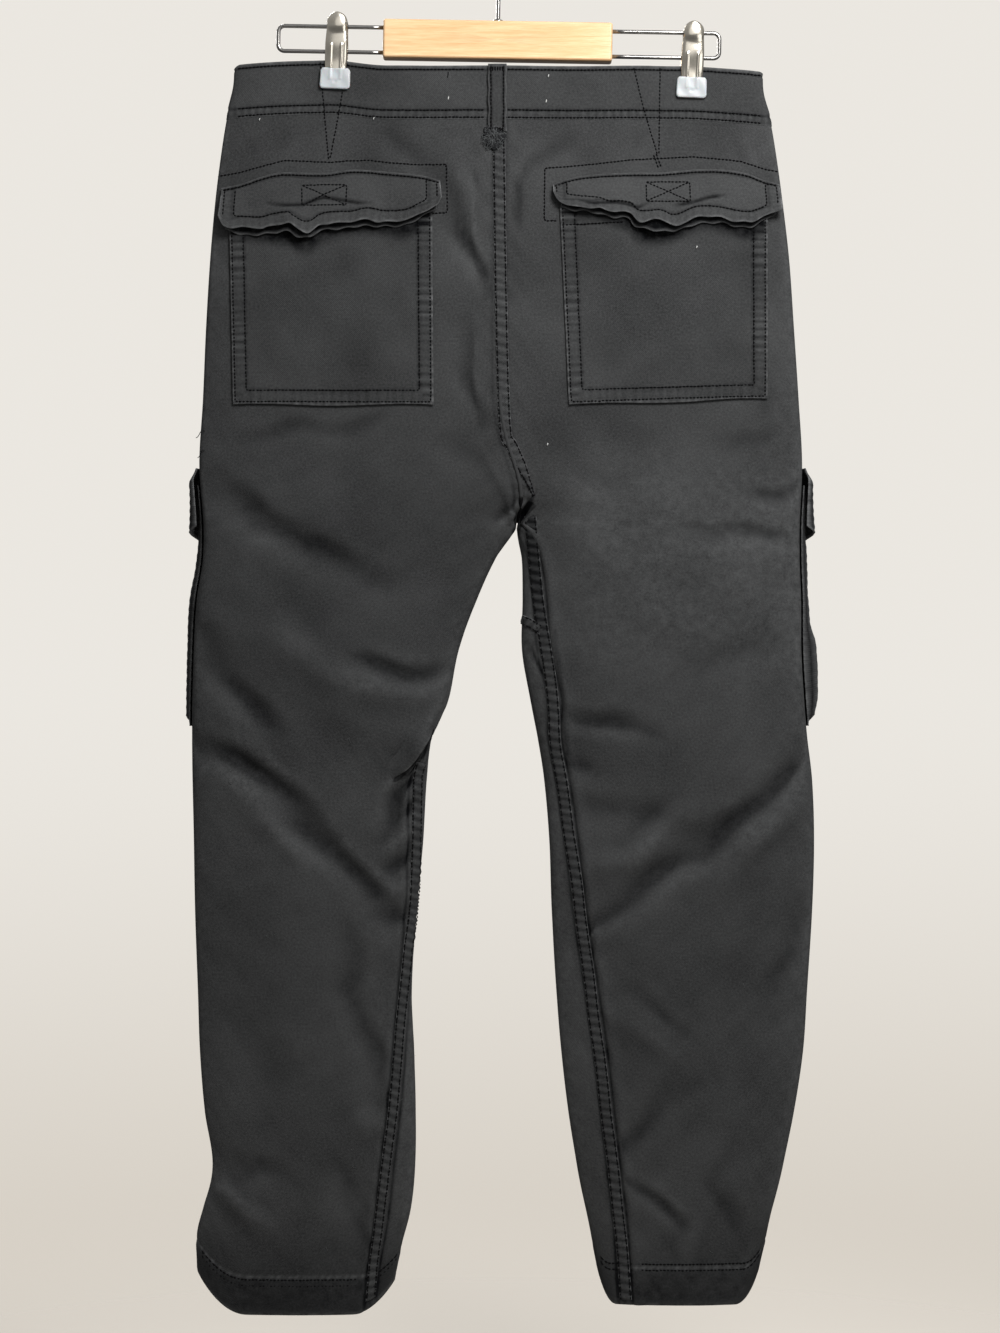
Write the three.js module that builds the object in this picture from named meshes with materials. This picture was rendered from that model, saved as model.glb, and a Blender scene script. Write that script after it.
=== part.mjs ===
// Cargo trousers hung by the waistband from a two-clip hanger, with the back of the trousers facing -Y.
// Millimetres, +Z up, +X is the wearer's right.
// The origin is the highest point inside the hanger's hook, where a rail carries the whole thing.
import * as THREE from 'three';

// Cloth thicknesses. Pieces that meet at a seam stay seamGap apart.
const cloth = { panel: 1.5, hem: 2.6, waistband: 2.4, pocket: 1.4, flap: 2.0, loop: 1.6, fly: 1.6 };
const seamGap = 0.3;

// Levels of the garment, measured down from the hook.
const level = { waistTop: -131.5, waistSeam: -176.5, hemFrom: -1040, hem: { left: -1163, right: -1155 } };
const crotch = { z: -511, riseHeight: 75 };
const sideSeamInset = 8;
const clipGrip = {
  x: { left: -137, right: 158.3 }, halfWidth: 15, depth: 2.4, spread: 30, below: 70, z: -160,
};

// Outer edge of each leg and hip, as hung.
const outerEdge = {
  left: [
    { z: -130, x: -220 }, { z: -150, x: -220.5 }, { z: -171, x: -225.8 }, { z: -200, x: -230.7 },
    { z: -241, x: -236 }, { z: -291, x: -240.5 }, { z: -349, x: -244 }, { z: -407, x: -246.5 },
    { z: -461, x: -249.5 }, { z: -511, x: -246 }, { z: -540, x: -246.5 }, { z: -573, x: -251.5 },
    { z: -615, x: -254 }, { z: -686, x: -255.5 }, { z: -773, x: -254 }, { z: -831, x: -253 },
    { z: -897, x: -250.7 }, { z: -947, x: -249 }, { z: -997, x: -245 }, { z: -1042, x: -238.5 },
    { z: -1088, x: -246 }, { z: -1125, x: -251.5 }, { z: -1160, x: -251 },
  ],
  right: [
    { z: -130, x: 217.5 }, { z: -150, x: 218.3 }, { z: -171, x: 224.1 }, { z: -200, x: 229.1 },
    { z: -241, x: 234.5 }, { z: -291, x: 240 }, { z: -349, x: 244 }, { z: -407, x: 247.8 },
    { z: -461, x: 250.7 }, { z: -511, x: 248.6 }, { z: -540, x: 248.6 }, { z: -573, x: 249.8 },
    { z: -615, x: 250 }, { z: -656, x: 252.3 }, { z: -686, x: 254.8 }, { z: -723, x: 259 },
    { z: -773, x: 260.6 }, { z: -831, x: 259 }, { z: -897, x: 254.8 }, { z: -947, x: 251.5 },
    { z: -997, x: 244 }, { z: -1042, x: 234.9 }, { z: -1088, x: 225.8 }, { z: -1125, x: 220 },
    { z: -1160, x: 213 },
  ],
};

// Inner edge of each leg below the crotch. seam is how far the inseam lies from that edge on the back
// face, and a negative one lies on the front face.
const innerEdge = {
  left: [
    { z: -511, x: 14, seam: 0 }, { z: -524, x: 4, seam: -3 }, { z: -540, x: -5.8, seam: -6 },
    { z: -573, x: -19.9, seam: -9 }, { z: -615, x: -34.9, seam: -9 }, { z: -656, x: -44, seam: -6 },
    { z: -686, x: -56, seam: 0 }, { z: -723, x: -60.6, seam: 8 }, { z: -773, x: -63.5, seam: 7 },
    { z: -831, x: -68.9, seam: 4 }, { z: -897, x: -73, seam: 6 }, { z: -947, x: -71, seam: 12 },
    { z: -997, x: -69.7, seam: 18 }, { z: -1042, x: -70.1, seam: 23 }, { z: -1088, x: -73.9, seam: 24 },
    { z: -1125, x: -80.5, seam: 23 }, { z: -1160, x: -87, seam: 20 },
  ],
  right: [
    { z: -511, x: 14, seam: 0 }, { z: -524, x: 15.5, seam: 7 }, { z: -540, x: 18, seam: 10 },
    { z: -573, x: 18.5, seam: 14 }, { z: -615, x: 18, seam: 18 }, { z: -656, x: 24.9, seam: 20 },
    { z: -686, x: 30.7, seam: 14 }, { z: -723, x: 36.5, seam: 15 }, { z: -773, x: 40.7, seam: 18 },
    { z: -831, x: 42.7, seam: 23 }, { z: -897, x: 46.5, seam: 29 }, { z: -947, x: 50.6, seam: 32 },
    { z: -997, x: 56.4, seam: 32 }, { z: -1042, x: 63.5, seam: 30 }, { z: -1088, x: 71, seam: 28 },
    { z: -1125, x: 76.4, seam: 25 }, { z: -1160, x: 82.2, seam: 22 },
  ],
};

// The centre seam of the seat and fly, which drifts to the right above the crotch.
const centreSeam = [
  { z: -130, x: 0 }, { z: -407, x: 0 }, { z: -436, x: 4 }, { z: -450, x: 8 }, { z: -472, x: 15 },
  { z: -490, x: 17.5 }, { z: -511, x: 14 },
];

// Half the depth of the hollow form, and how boxy its section is (1 is an ellipse, less is boxier).
const form = [
  { z: -130, half: 9, power: 0.42 }, { z: -176, half: 10, power: 0.46 }, { z: -220, half: 14, power: 0.6 },
  { z: -290, half: 18, power: 0.68 }, { z: -350, half: 21.5, power: 0.72 },
  { z: -420, half: 24, power: 0.74 }, { z: -511, half: 25, power: 0.76 },
  { z: -620, half: 24.5, power: 0.76 }, { z: -740, half: 23, power: 0.76 },
  { z: -880, half: 21, power: 0.76 }, { z: -1000, half: 20, power: 0.76 },
  { z: -1090, half: 19, power: 0.78 }, { z: -1160, half: 18.5, power: 0.8 },
];

// How much the waist is pulled up at the clips and sags between them.
const waistSag = [
  { x: -225, dz: 1 }, { x: -140, dz: 5.5 }, { x: -92, dz: 0.5 }, { x: 0, dz: 0 }, { x: 70, dz: -0.5 },
  { x: 158, dz: 0.5 }, { x: 220, dz: -4.5 },
];
const waistSagFadesAt = -320;
const hemLift = {
  left: { outer: 34, outerReach: 42, inner: 26, innerReach: 36 },
  right: { outer: 26, outerReach: 20, inner: 24, innerReach: 14 },
};

// The largest folds: soft ridges (height above 0) and troughs, each along a line on one face.
const folds = [
  { face: 'back', x0: -232, z0: -476, x1: -120, z1: -556, width: 17, height: -5 },
  { face: 'back', x0: -225, z0: -575, x1: -70, z1: -668, width: 30, height: 5 },
  { face: 'back', x0: -232, z0: -612, x1: -135, z1: -705, width: 15, height: -4.5 },
  { face: 'back', x0: -150, z0: -690, x1: -85, z1: -708, width: 17, height: 5 },
  { face: 'back', x0: -244, z0: -690, x1: -82, z1: -832, width: 19, height: -6 },
  { face: 'back', x0: -98, z0: -634, x1: -52, z1: -640, width: 10, height: -4.5 },
  { face: 'back', x0: 243, z0: -702, x1: 84, z1: -835, width: 18, height: -5.5 },
  { face: 'back', x0: 75, z0: -735, x1: 190, z1: -722, width: 18, height: -4 },
  { face: 'back', x0: 70, z0: -800, x1: 160, z1: -752, width: 14, height: 4 },
  { face: 'back', x0: 165, z0: -515, x1: 236, z1: -480, width: 13, height: -3.5 },
  { face: 'back', x0: -58, z0: -195, x1: -14, z1: -325, width: 8, height: -2.4 },
  { face: 'back', x0: -32, z0: -355, x1: -22, z1: -430, width: 9, height: -3 },
  { face: 'front', x0: -225, z0: -745, x1: -90, z1: -835, width: 20, height: -5 },
  { face: 'front', x0: -110, z0: -900, x1: -225, z1: -960, width: 18, height: -4 },
  { face: 'front', x0: 228, z0: -750, x1: 75, z1: -850, width: 20, height: -5 },
  { face: 'front', x0: 90, z0: -915, x1: 210, z1: -955, width: 18, height: -4 },
  { face: 'front', x0: -20, z0: -470, x1: -120, z1: -400, width: 15, height: -4 },
  { face: 'front', x0: 35, z0: -475, x1: 130, z1: -405, width: 15, height: -4 },
];
const foldFadesNearEdge = 0.5;

// Patch pockets on the seat, by their corners, and their flaps, by their edges from the centre out.
const backPocket = {
  left: { inner: -56, outer: -220, innerFoot: -54.5, outerFoot: -216.5, top: -252, foot: -416, outerRise: 1 },
  right: { inner: 49, outer: 218, innerFoot: 56.5, outerFoot: 217, top: -250, foot: -416, outerRise: 5 },
  rest: 0.15,
};
const backFlap = {
  left: {
    edge: [
      { x: -49, top: -234, foot: -254 }, { x: -62, top: -231, foot: -260 },
      { x: -75, top: -228.5, foot: -267 }, { x: -105, top: -225.5, foot: -267 },
      { x: -130, top: -225, foot: -269 }, { x: -147, top: -225, foot: -271 },
      { x: -158, top: -225.5, foot: -272.5 }, { x: -172, top: -227, foot: -268 },
      { x: -194, top: -232, foot: -272.5 }, { x: -212, top: -237, foot: -272 },
      { x: -222, top: -239.5, foot: -269.5 }, { x: -227, top: -240.5, foot: -265 },
    ],
  },
  right: {
    edge: [
      { x: 43.5, top: -236, foot: -245 }, { x: 50.5, top: -234, foot: -253 },
      { x: 70, top: -230, foot: -258 }, { x: 87, top: -228.5, foot: -261 },
      { x: 103, top: -228, foot: -264 }, { x: 112, top: -228, foot: -268.5 },
      { x: 142, top: -227, foot: -273 }, { x: 161, top: -225.5, foot: -264.5 },
      { x: 174, top: -225, foot: -267 }, { x: 203, top: -228, foot: -268 },
      { x: 217, top: -231, foot: -262 }, { x: 227.5, top: -234, foot: -255 },
    ],
  },
};
const flapShape = { rest: 0.65, overPocket: 2.2, overFrom: 0.05, overTo: 0.5, footLift: 4.5, rows: 5 };

// Cargo pockets on the outside of the thighs. from and width run round the leg from its outer edge,
// across the front.
const cargo = {
  top: -478, foot: -678, from: 0.5, width: 152, gusset: 9, mouthLift: 7, rest: 1,
  bellows: { left: 10, right: 12 },
  flap: { top: -464, foot: -524, overhang: 2, clear: 3.5, lean: 4.5, full: 0.2, chamfer: 12 },
};

const beltLoops = [
  { name: 'belt_loop_center_back', x: -2, face: 'back', halfWidth: 7.6, foot: -189 },
  { name: 'belt_loop_front_left', x: -105, face: 'front', halfWidth: 6, foot: -181 },
  { name: 'belt_loop_front_right', x: 112, face: 'front', halfWidth: 6, foot: -181 },
];
const loopBow = 2.2;
const bandProud = 0.5;
const waistLap = { over: 8, under: [-26, -8, 8] };
const fly = { width: 40, foot: -338, curveFrom: -292 };
const button = { radius: 8.5, thickness: 3.2, x: -8, z: -154 };

// The hanger, in its own frame before it tilts about the hook.
const hanger = {
  tilt: THREE.MathUtils.degToRad(1), wireRadius: 1.7,
  bar: { x: 0, z: -110, width: 190, height: 32, thickness: 17, bevel: 1.5 },
  loop: { z: -110.4, halfHeight: 10.4, leftEnd: -182, rightEnd: 184, corner: 5 },
  hook: { radius: 20, stemTurn: -52, tipAngle: 188, startAngle: -48 },
};
const clip = {
  lean: THREE.MathUtils.degToRad(2.4), tip: { width: 25.4, height: 17.2, thickness: 3.2, corner: 3 },
  plateThickness: 1.2, spring: { radius: 4.2, length: 13 }, foot: { left: -150.1, right: -157.6 },
  profile: [
    { up: 17.5, halfWidth: 7.6, out: 4.7 }, { up: 27.3, halfWidth: 8.6, out: 4.3 },
    { up: 30.8, halfWidth: 9, out: 2.65 }, { up: 36.5, halfWidth: 9.3, out: 2.65 },
    { up: 40, halfWidth: 9.4, out: 5.2 }, { up: 47, halfWidth: 9.2, out: 5.2 },
    { up: 50.5, halfWidth: 8.9, out: 2.65 }, { up: 57, halfWidth: 8, out: 2.75 },
    { up: 60.2, halfWidth: 6.4, out: 4.8 }, { up: 62.4, halfWidth: 3.8, out: 6.8 },
    { up: 63.3, halfWidth: 1.4, out: 7.6 },
  ],
};

const colours = {
  cloth: 0x3b3d3d, wood: 0xe3bd8a, steel: 0xb9b6b0, tip: 0xd5dadb, button: 0x2c2c2d,
};

const smooth = (from, to, value) => THREE.MathUtils.smoothstep(value, Math.min(from, to), Math.max(from, to));
const clamp = THREE.MathUtils.clamp;

// Reads one column of a table at any z (or other key), on a smooth curve through its rows.
function read(table, column, where, key = 'z') {
  const falling = table[0][key] > table[table.length - 1][key];
  const order = falling ? -1 : 1;
  let row = 0;
  while (row < table.length - 2 && order * where > order * table[row + 1][key]) row += 1;
  const a = table[row];
  const b = table[row + 1];
  const before = table[Math.max(row - 1, 0)];
  const after = table[Math.min(row + 2, table.length - 1)];
  const span = b[key] - a[key];
  const t = clamp((where - a[key]) / span, 0, 1);
  const straight = (b[column] - a[column]) / span;
  const slopeA = row > 0 ? (b[column] - before[column]) / (b[key] - before[key]) : straight;
  const slopeB = row < table.length - 2 ? (after[column] - a[column]) / (after[key] - a[key]) : straight;
  const t2 = t * t;
  const t3 = t2 * t;
  return (2 * t3 - 3 * t2 + 1) * a[column] + (t3 - 2 * t2 + t) * span * slopeA
    + (3 * t2 - 2 * t3) * b[column] + (t3 - t2) * span * slopeB;
}

// One half's section at a height. It is an open arc from the fly round the outer edge to the centre back
// above the crotch, and a closed tube below it. turn is the arc's end: a quarter turn is a flat seat.
function section(side, z) {
  const away = side === 'left' ? -1 : 1;
  const outer = read(outerEdge[side], 'x', z);
  const split = z <= crotch.z;
  const down = clamp((crotch.z + crotch.riseHeight - z) / crotch.riseHeight, 0, 1);
  const turn = split ? Math.PI : Math.PI / 2 * (1 + down * down);
  const inner = (split ? read(innerEdge[side], 'x', z) : read(centreSeam, 'x', z)) + away * seamGap / 2;
  const half = (inner - outer) / (1 - Math.cos(turn));
  return { outer, inner, half, turn, split, depth: read(form, 'half', z), power: read(form, 'power', z) };
}

function foldHeight(face, x, z) {
  let total = 0;
  for (const fold of folds) {
    if (fold.face !== face) continue;
    const alongX = fold.x1 - fold.x0;
    const alongZ = fold.z1 - fold.z0;
    const length2 = alongX * alongX + alongZ * alongZ;
    const t = ((x - fold.x0) * alongX + (z - fold.z0) * alongZ) / length2;
    const near = clamp(t, 0, 1);
    const dx = x - fold.x0 - near * alongX;
    const dz = z - fold.z0 - near * alongZ;
    total += fold.height * Math.exp(-(dx * dx + dz * dz) / (fold.width * fold.width));
  }
  return total;
}

// A point on the outside of the cloth. angle 0 is the outer edge, and it grows across the back face.
function skinPoint(side, z, angle) {
  const s = section(side, z);
  const around = angle > Math.PI ? angle - 2 * Math.PI : angle < -Math.PI ? angle + 2 * Math.PI : angle;
  const face = around >= 0 ? 'back' : 'front';
  const toCamera = around >= 0 ? -1 : 1;
  const x = s.outer + s.half * (1 - Math.cos(around));
  const bulge = Math.pow(Math.max(Math.sin(Math.abs(around)), 0), s.power);
  let deep = s.depth * bulge;
  const gripX = Math.min(
    Math.max(Math.abs(x - clipGrip.x.left) - clipGrip.halfWidth, 0),
    Math.max(Math.abs(x - clipGrip.x.right) - clipGrip.halfWidth, 0),
  );
  const gripZ = Math.max(clipGrip.z - z, 0) / clipGrip.below;
  const pinch = Math.exp(-((gripX / clipGrip.spread) ** 2) - gripZ * gripZ);
  deep += (clipGrip.depth - deep) * pinch * smooth(0, 0.3, bulge);
  deep += foldHeight(face, x, z) * smooth(0, foldFadesNearEdge, bulge) * (1 - pinch);
  const sag = read(waistSag, 'dz', x, 'x') * smooth(waistSagFadesAt, level.waistSeam, z);
  const lift = hemLift[side];
  const nearOuter = clamp(1 - Math.abs(x - s.outer) / lift.outerReach, 0, 1);
  const nearInner = s.split ? clamp(1 - Math.abs(x - s.inner) / lift.innerReach, 0, 1) : 0;
  const raised = lift.outer * nearOuter * nearOuter + lift.inner * nearInner * nearInner;
  const hem = raised * (1 - smooth(level.hem[side], level.hemFrom, z));
  return new THREE.Vector3(x, toCamera * deep, z + sag + hem);
}

// The same point moved outwards, square to the cloth.
function skin(side, z, angle, out = 0) {
  const point = skinPoint(side, z, angle);
  if (out === 0) return point;
  const stepAngle = 0.02;
  const stepZ = 2;
  const around = skinPoint(side, z, angle + stepAngle).sub(skinPoint(side, z, angle - stepAngle));
  const down = skinPoint(side, z - stepZ, angle).sub(skinPoint(side, z + stepZ, angle));
  const normal = around.cross(down).normalize();
  if (side === 'left') normal.negate();
  return point.addScaledVector(normal, out);
}

// The angle at which a face of the trousers has this x, and the angle this far round from the outer edge.
function angleAtX(side, z, x, face) {
  const s = section(side, z);
  const angle = Math.acos(clamp(1 - (x - s.outer) / s.half, -1, 1));
  return face === 'back' ? angle : -angle;
}

function angleAtArc(side, z, arc) {
  const step = arc > 0 ? 0.01 : -0.01;
  let angle = 0;
  let gone = 0;
  let last = skinPoint(side, z, 0);
  let stride = 0;
  while (gone < Math.abs(arc) && Math.abs(angle) < Math.PI) {
    angle += step;
    const next = skinPoint(side, z, angle);
    stride = next.distanceTo(last);
    gone += stride;
    last = next;
  }
  return stride > 0 ? angle - step * (gone - Math.abs(arc)) / stride : 0;
}

// The grid of points that lies thickness behind a grid of outer points.
function behind(outer, thickness, inwards) {
  const rows = outer.length;
  const columns = outer[0].length;
  return outer.map((row, r) => row.map((point, c) => {
    const across = outer[r][Math.min(c + 1, columns - 1)].clone().sub(outer[r][Math.max(c - 1, 0)]);
    const down = outer[Math.min(r + 1, rows - 1)][c].clone().sub(outer[Math.max(r - 1, 0)][c]);
    return point.clone().addScaledVector(across.cross(down).normalize(), thickness * inwards);
  }));
}

// A closed wall between two grids of points.
function closedWall(outer, inner) {
  const rows = outer.length;
  const columns = outer[0].length;
  const positions = [];
  for (const grid of [outer, inner]) {
    for (const row of grid) {
      for (const point of row) positions.push(point.x, point.y, point.z);
    }
  }
  const layer = rows * columns;
  const at = (r, c, deep) => deep * layer + r * columns + c;
  const triangles = [];
  const quad = (a, b, c, d) => triangles.push(a, b, c, a, c, d);
  for (let r = 0; r < rows - 1; r += 1) {
    for (let c = 0; c < columns - 1; c += 1) {
      quad(at(r, c, 0), at(r, c + 1, 0), at(r + 1, c + 1, 0), at(r + 1, c, 0));
      quad(at(r, c, 1), at(r + 1, c, 1), at(r + 1, c + 1, 1), at(r, c + 1, 1));
    }
    quad(at(r, 0, 0), at(r + 1, 0, 0), at(r + 1, 0, 1), at(r, 0, 1));
    quad(at(r, columns - 1, 0), at(r, columns - 1, 1), at(r + 1, columns - 1, 1), at(r + 1, columns - 1, 0));
  }
  for (let c = 0; c < columns - 1; c += 1) {
    quad(at(0, c, 0), at(0, c, 1), at(0, c + 1, 1), at(0, c + 1, 0));
    quad(at(rows - 1, c, 0), at(rows - 1, c + 1, 0), at(rows - 1, c + 1, 1), at(rows - 1, c, 1));
  }
  return facingOut(positions, triangles);
}

// A geometry whose faces point out, whichever way round its grid ran.
function facingOut(positions, triangles) {
  const corner = (i) => new THREE.Vector3().fromArray(positions, triangles[i] * 3);
  let volume = 0;
  for (let i = 0; i < triangles.length; i += 3) volume += corner(i).dot(corner(i + 1).cross(corner(i + 2)));
  const geometry = new THREE.BufferGeometry();
  geometry.setAttribute('position', new THREE.Float32BufferAttribute(positions, 3));
  geometry.setIndex(volume > 0 ? triangles : triangles.slice().reverse());
  return geometry;
}

const wall = (outer, thickness, inwards) => closedWall(outer, behind(outer, thickness, inwards));

// Evenly spaced numbers, both ends included.
function spread(count, from, to) {
  return Array.from({ length: count }, (_, i) => from + (to - from) * i / (count - 1));
}

const trousers = new THREE.Group();

function material(kind) {
  const metal = kind === 'steel';
  return new THREE.MeshStandardMaterial({
    color: colours[kind], roughness: metal ? 0.25 : kind === 'cloth' ? 0.95 : 0.5, metalness: metal ? 1 : 0,
  });
}

function add(group, name, geometry, kind) {
  const mesh = new THREE.Mesh(geometry, material(kind));
  mesh.name = name;
  group.add(mesh);
  return mesh;
}

// The angles at which a leg's two panels meet: the side seam just in front of the outer edge, and the
// inseam or, above the crotch, the centre seam.
function seamAngles(side, z) {
  const s = section(side, z);
  const sideSeam = -Math.acos(1 - sideSeamInset / Math.abs(s.half));
  if (!s.split) return { sideSeam, back: s.turn, front: -s.turn };
  const offset = read(innerEdge[side], 'seam', z);
  const width = Math.abs(s.inner - s.outer);
  const toInner = Math.acos(clamp(1 - (width - Math.abs(offset)) / Math.abs(s.half), -1, 1));
  const back = offset >= 0 ? toInner : 2 * Math.PI - toInner;
  return { sideSeam, back, front: back - 2 * Math.PI };
}

// Heights of the panels' sections, closer together round the crotch, the knees and the hem.
function panelLevels(side) {
  const hem = level.hem[side];
  const stretches = [
    { from: level.waistSeam - 2 * seamGap, to: -436, steps: 8 }, { from: -436, to: crotch.z, steps: 5 },
    { from: crotch.z, to: -560, steps: 3 }, { from: -560, to: -850, steps: 11 },
    { from: -850, to: hem + 34, steps: 6 }, { from: hem + 34, to: hem + 30, steps: 1 },
    { from: hem + 30, to: hem, steps: 2 },
  ];
  return stretches.flatMap((s, i) => spread(s.steps + 1, s.from, s.to).slice(i === 0 ? 0 : 1));
}

// Angles from one place on a section to another, closer together where the cloth turns an edge.
function spreadAngles(side, z, from, to, count) {
  const fine = spread(81, from, to);
  const gone = [0];
  for (let i = 1; i < fine.length; i += 1) {
    gone.push(gone[i - 1] + skinPoint(side, z, fine[i]).distanceTo(skinPoint(side, z, fine[i - 1])));
  }
  return spread(count, 0, 1).map((t) => {
    let i = 1;
    while (i < gone.length - 1 && gone[i] < t * gone[gone.length - 1]) i += 1;
    const part = (t * gone[gone.length - 1] - gone[i - 1]) / (gone[i] - gone[i - 1]);
    const evenly = fine[i - 1] + (fine[i] - fine[i - 1]) * part;
    return 0.5 * evenly + 0.5 * (from + (to - from) * t);
  });
}

// Each panel stops half the seam gap short of the edges where it meets another, and is doubled at the hem.
function panel(side, face) {
  const columns = 11;
  const towards = face === 'back' ? 1 : -1;
  const hemTop = level.hem[side] + 31;
  const grids = [0, 1].map((layer) => panelLevels(side).map((z) => {
    const seams = seamAngles(side, z);
    const s = section(side, z);
    const start = seams.sideSeam + towards * angleOfGap(Math.abs(s.half), seams.sideSeam);
    const end = (face === 'back' ? seams.back : seams.front)
      - (s.split ? towards * angleOfGap(Math.abs(s.half), seams.back) : 0);
    const thickness = z < hemTop ? cloth.hem : cloth.panel;
    const fromEdge = spreadAngles(side, z, face === 'back' ? 0 : start, end, columns + 1);
    const angles = face === 'back' ? [start, ...fromEdge] : fromEdge;
    return angles.map((angle) => skin(side, z, angle, -layer * thickness));
  }));
  return closedWall(grids[0], grids[1]);
}

// How far to turn along the section to move half a seam gap at this angle.
function angleOfGap(half, angle) {
  return seamGap / 2 / (half * Math.max(Math.abs(Math.sin(angle)), 0.12));
}

for (const side of ['left', 'right']) {
  add(trousers, `back_panel_${side}`, panel(side, 'back'), 'cloth');
  add(trousers, `front_panel_${side}`, panel(side, 'front'), 'cloth');
}

// A point on the waist or hip, whichever half it belongs to.
function torsoPoint(x, z, face, out) {
  const side = x < read(centreSeam, 'x', z) ? 'left' : 'right';
  return skin(side, z, angleAtX(side, z, x, face), out);
}

// The waistband runs from the fly round the back to the fly again, and its left end laps over the right.
function waistband() {
  const lapUnder = bandProud - cloth.waistband - seamGap - 0.2;
  const steps = 18;
  const grid = spread(3, level.waistTop, level.waistSeam).map((z) => {
    const turn = section('right', z).turn;
    const round = (side, from, to) => spreadAngles(side, z, from, to, 2 * steps + 1)
      .map((angle) => skin(side, z, angle, bandProud));
    const right = round('right', -turn, turn);
    const left = round('left', turn, -turn);
    const middle = right.pop().lerp(left.shift(), 0.5);
    const under = waistLap.under.map((x) => torsoPoint(x, z, 'front', lapUnder));
    return [...under, ...right.slice(1), middle, ...left, torsoPoint(waistLap.over, z, 'front', bandProud)];
  });
  return wall(grid, cloth.waistband, -1);
}
add(trousers, 'waistband', waistband(), 'cloth');

// A flat piece lying on one face of the seat, whose corners are given by x and z.
function patch(rows, columns, place, thickness, face) {
  const grid = spread(rows + 1, 0, 1).map((v) => spread(columns + 1, 0, 1).map((u) => place(u, v)));
  return wall(grid, thickness, face === 'back' ? 1 : -1);
}

const restOn = (thickness) => thickness + seamGap;

// Folds of the cloth below carry through a patch, so it keeps the same gap everywhere.
function backPocketWall(side) {
  const p = backPocket[side];
  return patch(9, 8, (u, v) => {
    const across = side === 'left' ? 1 - u : u;
    const inner = p.inner + (p.innerFoot - p.inner) * v;
    const outer = p.outer + (p.outerFoot - p.outer) * v;
    const foot = p.foot + p.outerRise * across;
    const lift = restOn(cloth.pocket) + backPocket.rest;
    return torsoPoint(inner + (outer - inner) * across, p.top + (foot - p.top) * v, 'back', lift);
  }, cloth.pocket, 'back');
}

function backFlapWall(side) {
  const edge = backFlap[side].edge;
  const count = edge.length * 2 - 1;
  const place = (u, v) => {
    const x = edge[0].x + (edge[edge.length - 1].x - edge[0].x) * (side === 'left' ? 1 - u : u);
    const top = read(edge, 'top', x, 'x');
    const foot = read(edge, 'foot', x, 'x');
    const f = flapShape;
    const over = f.overPocket * smooth(f.overFrom, f.overTo, v);
    const lift = restOn(cloth.flap) + f.rest + over + f.footLift * v * v;
    return torsoPoint(x, top + (foot - top) * v, 'back', lift);
  };
  return patch(flapShape.rows, count, place, cloth.flap, 'back');
}

for (const side of ['left', 'right']) {
  add(trousers, `back_pocket_${side}`, backPocketWall(side), 'cloth');
  add(trousers, `back_flap_${side}`, backFlapWall(side), 'cloth');
}

// How far the cargo pocket's face stands off the leg, round from the outer edge and down.
function cargoLift(side, arc, z) {
  const gusset = cargo.gusset;
  const in1 = smooth(0, gusset, arc - cargo.from);
  const in2 = smooth(0, gusset, cargo.from + cargo.width - arc);
  const up = smooth(0, gusset, z - cargo.foot);
  const deeper = (cargo.bellows[side] - cargo.mouthLift) * smooth(cargo.top, cargo.top - 90, z);
  const full = cargo.mouthLift + deeper;
  return restOn(cloth.pocket) + cargo.rest + full * in1 * in2 * up;
}

// Sample places that follow the gusset's curve at both ends of a span.
function gussetSteps(from, to, inner, bothEnds) {
  const bend = [0, 0.22, 0.5, 0.78, 1, 1.9].map((t) => t * cargo.gusset);
  const start = bothEnds ? bend.map((t) => from + t) : [from];
  const end = bend.map((t) => to - t).reverse();
  const middle = spread(inner + 2, start[start.length - 1], end[0]).slice(1, -1);
  return [...start, ...middle, ...end];
}

function cargoPocketWall(side) {
  const arcs = gussetSteps(cargo.from, cargo.from + cargo.width, 4, true);
  const heights = gussetSteps(0, cargo.top - cargo.foot, 7, false).map((d) => cargo.top - d);
  const place = (arc, z) => skin(side, z, angleAtArc(side, z, -arc), cargoLift(side, arc, z));
  const grid = heights.map((z) => arcs.map((arc) => place(arc, z)));
  return wall(grid, cloth.pocket, side === 'left' ? -1 : 1);
}

function cargoFlapWall(side) {
  const f = cargo.flap;
  const arcs = gussetSteps(cargo.from - f.overhang, cargo.from + cargo.width + f.overhang, 4, true);
  const middle = cargo.from + cargo.width / 2;
  const grid = [0, 0.1, 0.2, 0.45, 0.72, 1].map((v) => arcs.map((arc) => {
    const fromEnd = Math.min(arc - arcs[0], arcs[arcs.length - 1] - arc);
    const foot = f.foot + Math.max(0, f.chamfer - fromEnd);
    const z = f.top + (foot - f.top) * v;
    const ahead = arc + (arc < middle ? f.lean : -f.lean);
    const over = cargoLift(side, clamp(ahead, cargo.from, cargo.from + cargo.width), Math.min(z, cargo.top));
    const rest = restOn(cloth.flap) + cargo.rest;
    const lift = rest + (over - rest + f.clear) * smooth(0, f.full, v);
    return skin(side, z, angleAtArc(side, z, -arc), lift);
  }));
  return wall(grid, cloth.flap, side === 'left' ? -1 : 1);
}

for (const side of ['left', 'right']) {
  add(trousers, `cargo_pocket_${side}`, cargoPocketWall(side), 'cloth');
  add(trousers, `cargo_flap_${side}`, cargoFlapWall(side), 'cloth');
}

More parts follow.
